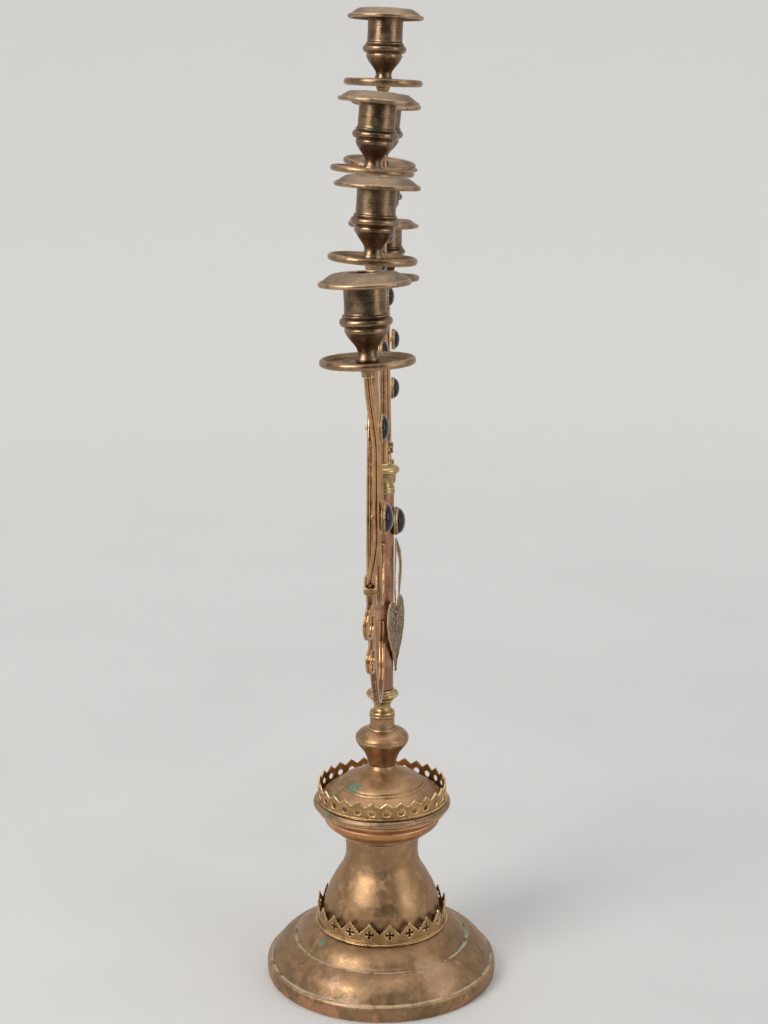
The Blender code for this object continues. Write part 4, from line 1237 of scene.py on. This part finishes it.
def build_stage():
    """Pale floor that curves up into a wall all round; painted light makes it lighter out towards the wall,
    and painted shade makes it dark behind the camera.
    """
    flat_end, bend, steps = 2.0, 1.0, 96
    profile = [(flat_end * k / 8, 0.0) for k in range(9)]
    for k in range(1, 13):
        a = math.radians(7.5 * k)
        profile.append((flat_end + bend * math.sin(a), bend * (1 - math.cos(a))))
    profile += [(flat_end + bend, bend + 0.35 * k) for k in range(1, 7)]
    verts, faces = [(0.0, 0.0, 0.0)], []
    for r, z in profile[1:]:
        verts += [(r * math.cos(TURN * k / steps), r * math.sin(TURN * k / steps), z) for k in range(steps)]
    for k in range(steps):
        faces.append((0, 1 + k, 1 + (k + 1) % steps))
    for row in range(len(profile) - 2):
        base = 1 + row * steps
        for k in range(steps):
            following = (k + 1) % steps
            faces.append((base + k, base + steps + k, base + steps + following, base + following))
    mesh = bpy.data.meshes.new("floor")
    mesh.from_pydata(verts, [], faces)
    mesh.shade_smooth()
    net = Net("pale_floor")
    clouds = net.noise(3.0, 3.0, 0.5)
    length = net.node("ShaderNodeVectorMath", {0: net.place}, operation="LENGTH").outputs["Value"]
    # Painted shade and painted light: one pale paper, coloured darker near the stand and lighter out to the
    # wall, standing in for the brighter-lit backdrop.
    far = net.between(length, 0.2, 2.6)
    near = net.blend(net.between(clouds, 0.3, 0.7), (0.555, 0.552, 0.548), (0.585, 0.582, 0.578))
    colour = net.blend(far, near, (0.84, 0.837, 0.83))
    # Painted shade: the wall behind the camera is coloured dark to stand in for the unlit room, so the metal
    # reflects darkness on the camera side.
    behind = net.times(net.between(net.split(net.place)["X"], -1.2, -2.4), net.between(length, 1.9, 2.5))
    colour = net.blend(behind, colour, (0.20, 0.198, 0.195))
    normal = net.bump(net.noise(400.0, 3.0), 0.05, 0.0005)
    net.finish(colour, net.between(clouds, 0.2, 0.8, 0.72, 0.84), normal, 0.0)
    net.shader.inputs["Specular IOR Level"].default_value = 0.25
    mesh.materials.append(net.material)
    floor = bpy.data.objects.new("floor", mesh)
    bpy.context.scene.collection.objects.link(floor)


def area_light(name, place, target, size, power, colour):
    data = bpy.data.lights.new(name, "AREA")
    data.shape = "RECTANGLE"
    data.size, data.size_y = size
    data.energy = power
    data.color = colour
    light = bpy.data.objects.new(name, data)
    light.location = place
    light.rotation_mode = "QUATERNION"
    light.rotation_quaternion = (Vector(target) - Vector(place)).to_track_quat("-Z", "Y")
    bpy.context.scene.collection.objects.link(light)


def build_lights():
    area_light("key", (-1.15, 1.15, 1.35), (0, 0, 0.35), (0.8, 1.1), 26.0, (1.0, 0.985, 0.96))
    area_light("fill", (-0.9, -1.6, 0.9), (0, 0, 0.4), (0.7, 1.4), 7.0, (0.97, 0.98, 1.0))
    area_light("top", (0.5, 0.0, 2.3), (0.3, 0, 0), (1.8, 1.8), 18.0, (1.0, 0.99, 0.98))
    world = bpy.data.worlds.new("studio")
    bpy.context.scene.world = world
    world.use_nodes = True
    background = world.node_tree.nodes["Background"]
    background.inputs["Color"].default_value = (1.0, 0.99, 0.97, 1.0)
    background.inputs["Strength"].default_value = 0.62


def build_camera():
    data = bpy.data.cameras.new("camera")
    data.sensor_width = 36.0
    data.lens = 61.24
    data.shift_y = -0.0508
    data.shift_x = 0.0008
    data.clip_start, data.clip_end = 0.05, 20.0
    camera = bpy.data.objects.new("camera", data)
    place = Vector((-1.268, -0.044, 0.656))
    pitch, roll = math.radians(11.14), math.radians(0.21)
    level = Vector((-place.x, -place.y, 0.0)).normalized()
    ahead = level * math.cos(pitch) - Vector((0, 0, math.sin(pitch)))
    right = ahead.cross(Vector((0, 0, 1))).normalized()
    up = right.cross(ahead)
    right, up = (right * math.cos(roll) + up * math.sin(roll), up * math.cos(roll) - right * math.sin(roll))
    camera.matrix_world = Matrix((
        (right.x, up.x, -ahead.x, place.x),
        (right.y, up.y, -ahead.y, place.y),
        (right.z, up.z, -ahead.z, place.z),
        (0, 0, 0, 1)))
    bpy.context.scene.collection.objects.link(camera)
    bpy.context.scene.camera = camera


build_camera()
build_base()
build_tie()
build_galleries()
build_bands()
for light_name in LIGHTS:
    build_light(light_name)
build_jewels()
build_leaf()
build_stalk()
build_stage()
build_lights()
bpy.context.scene.view_settings.view_transform = "Standard"
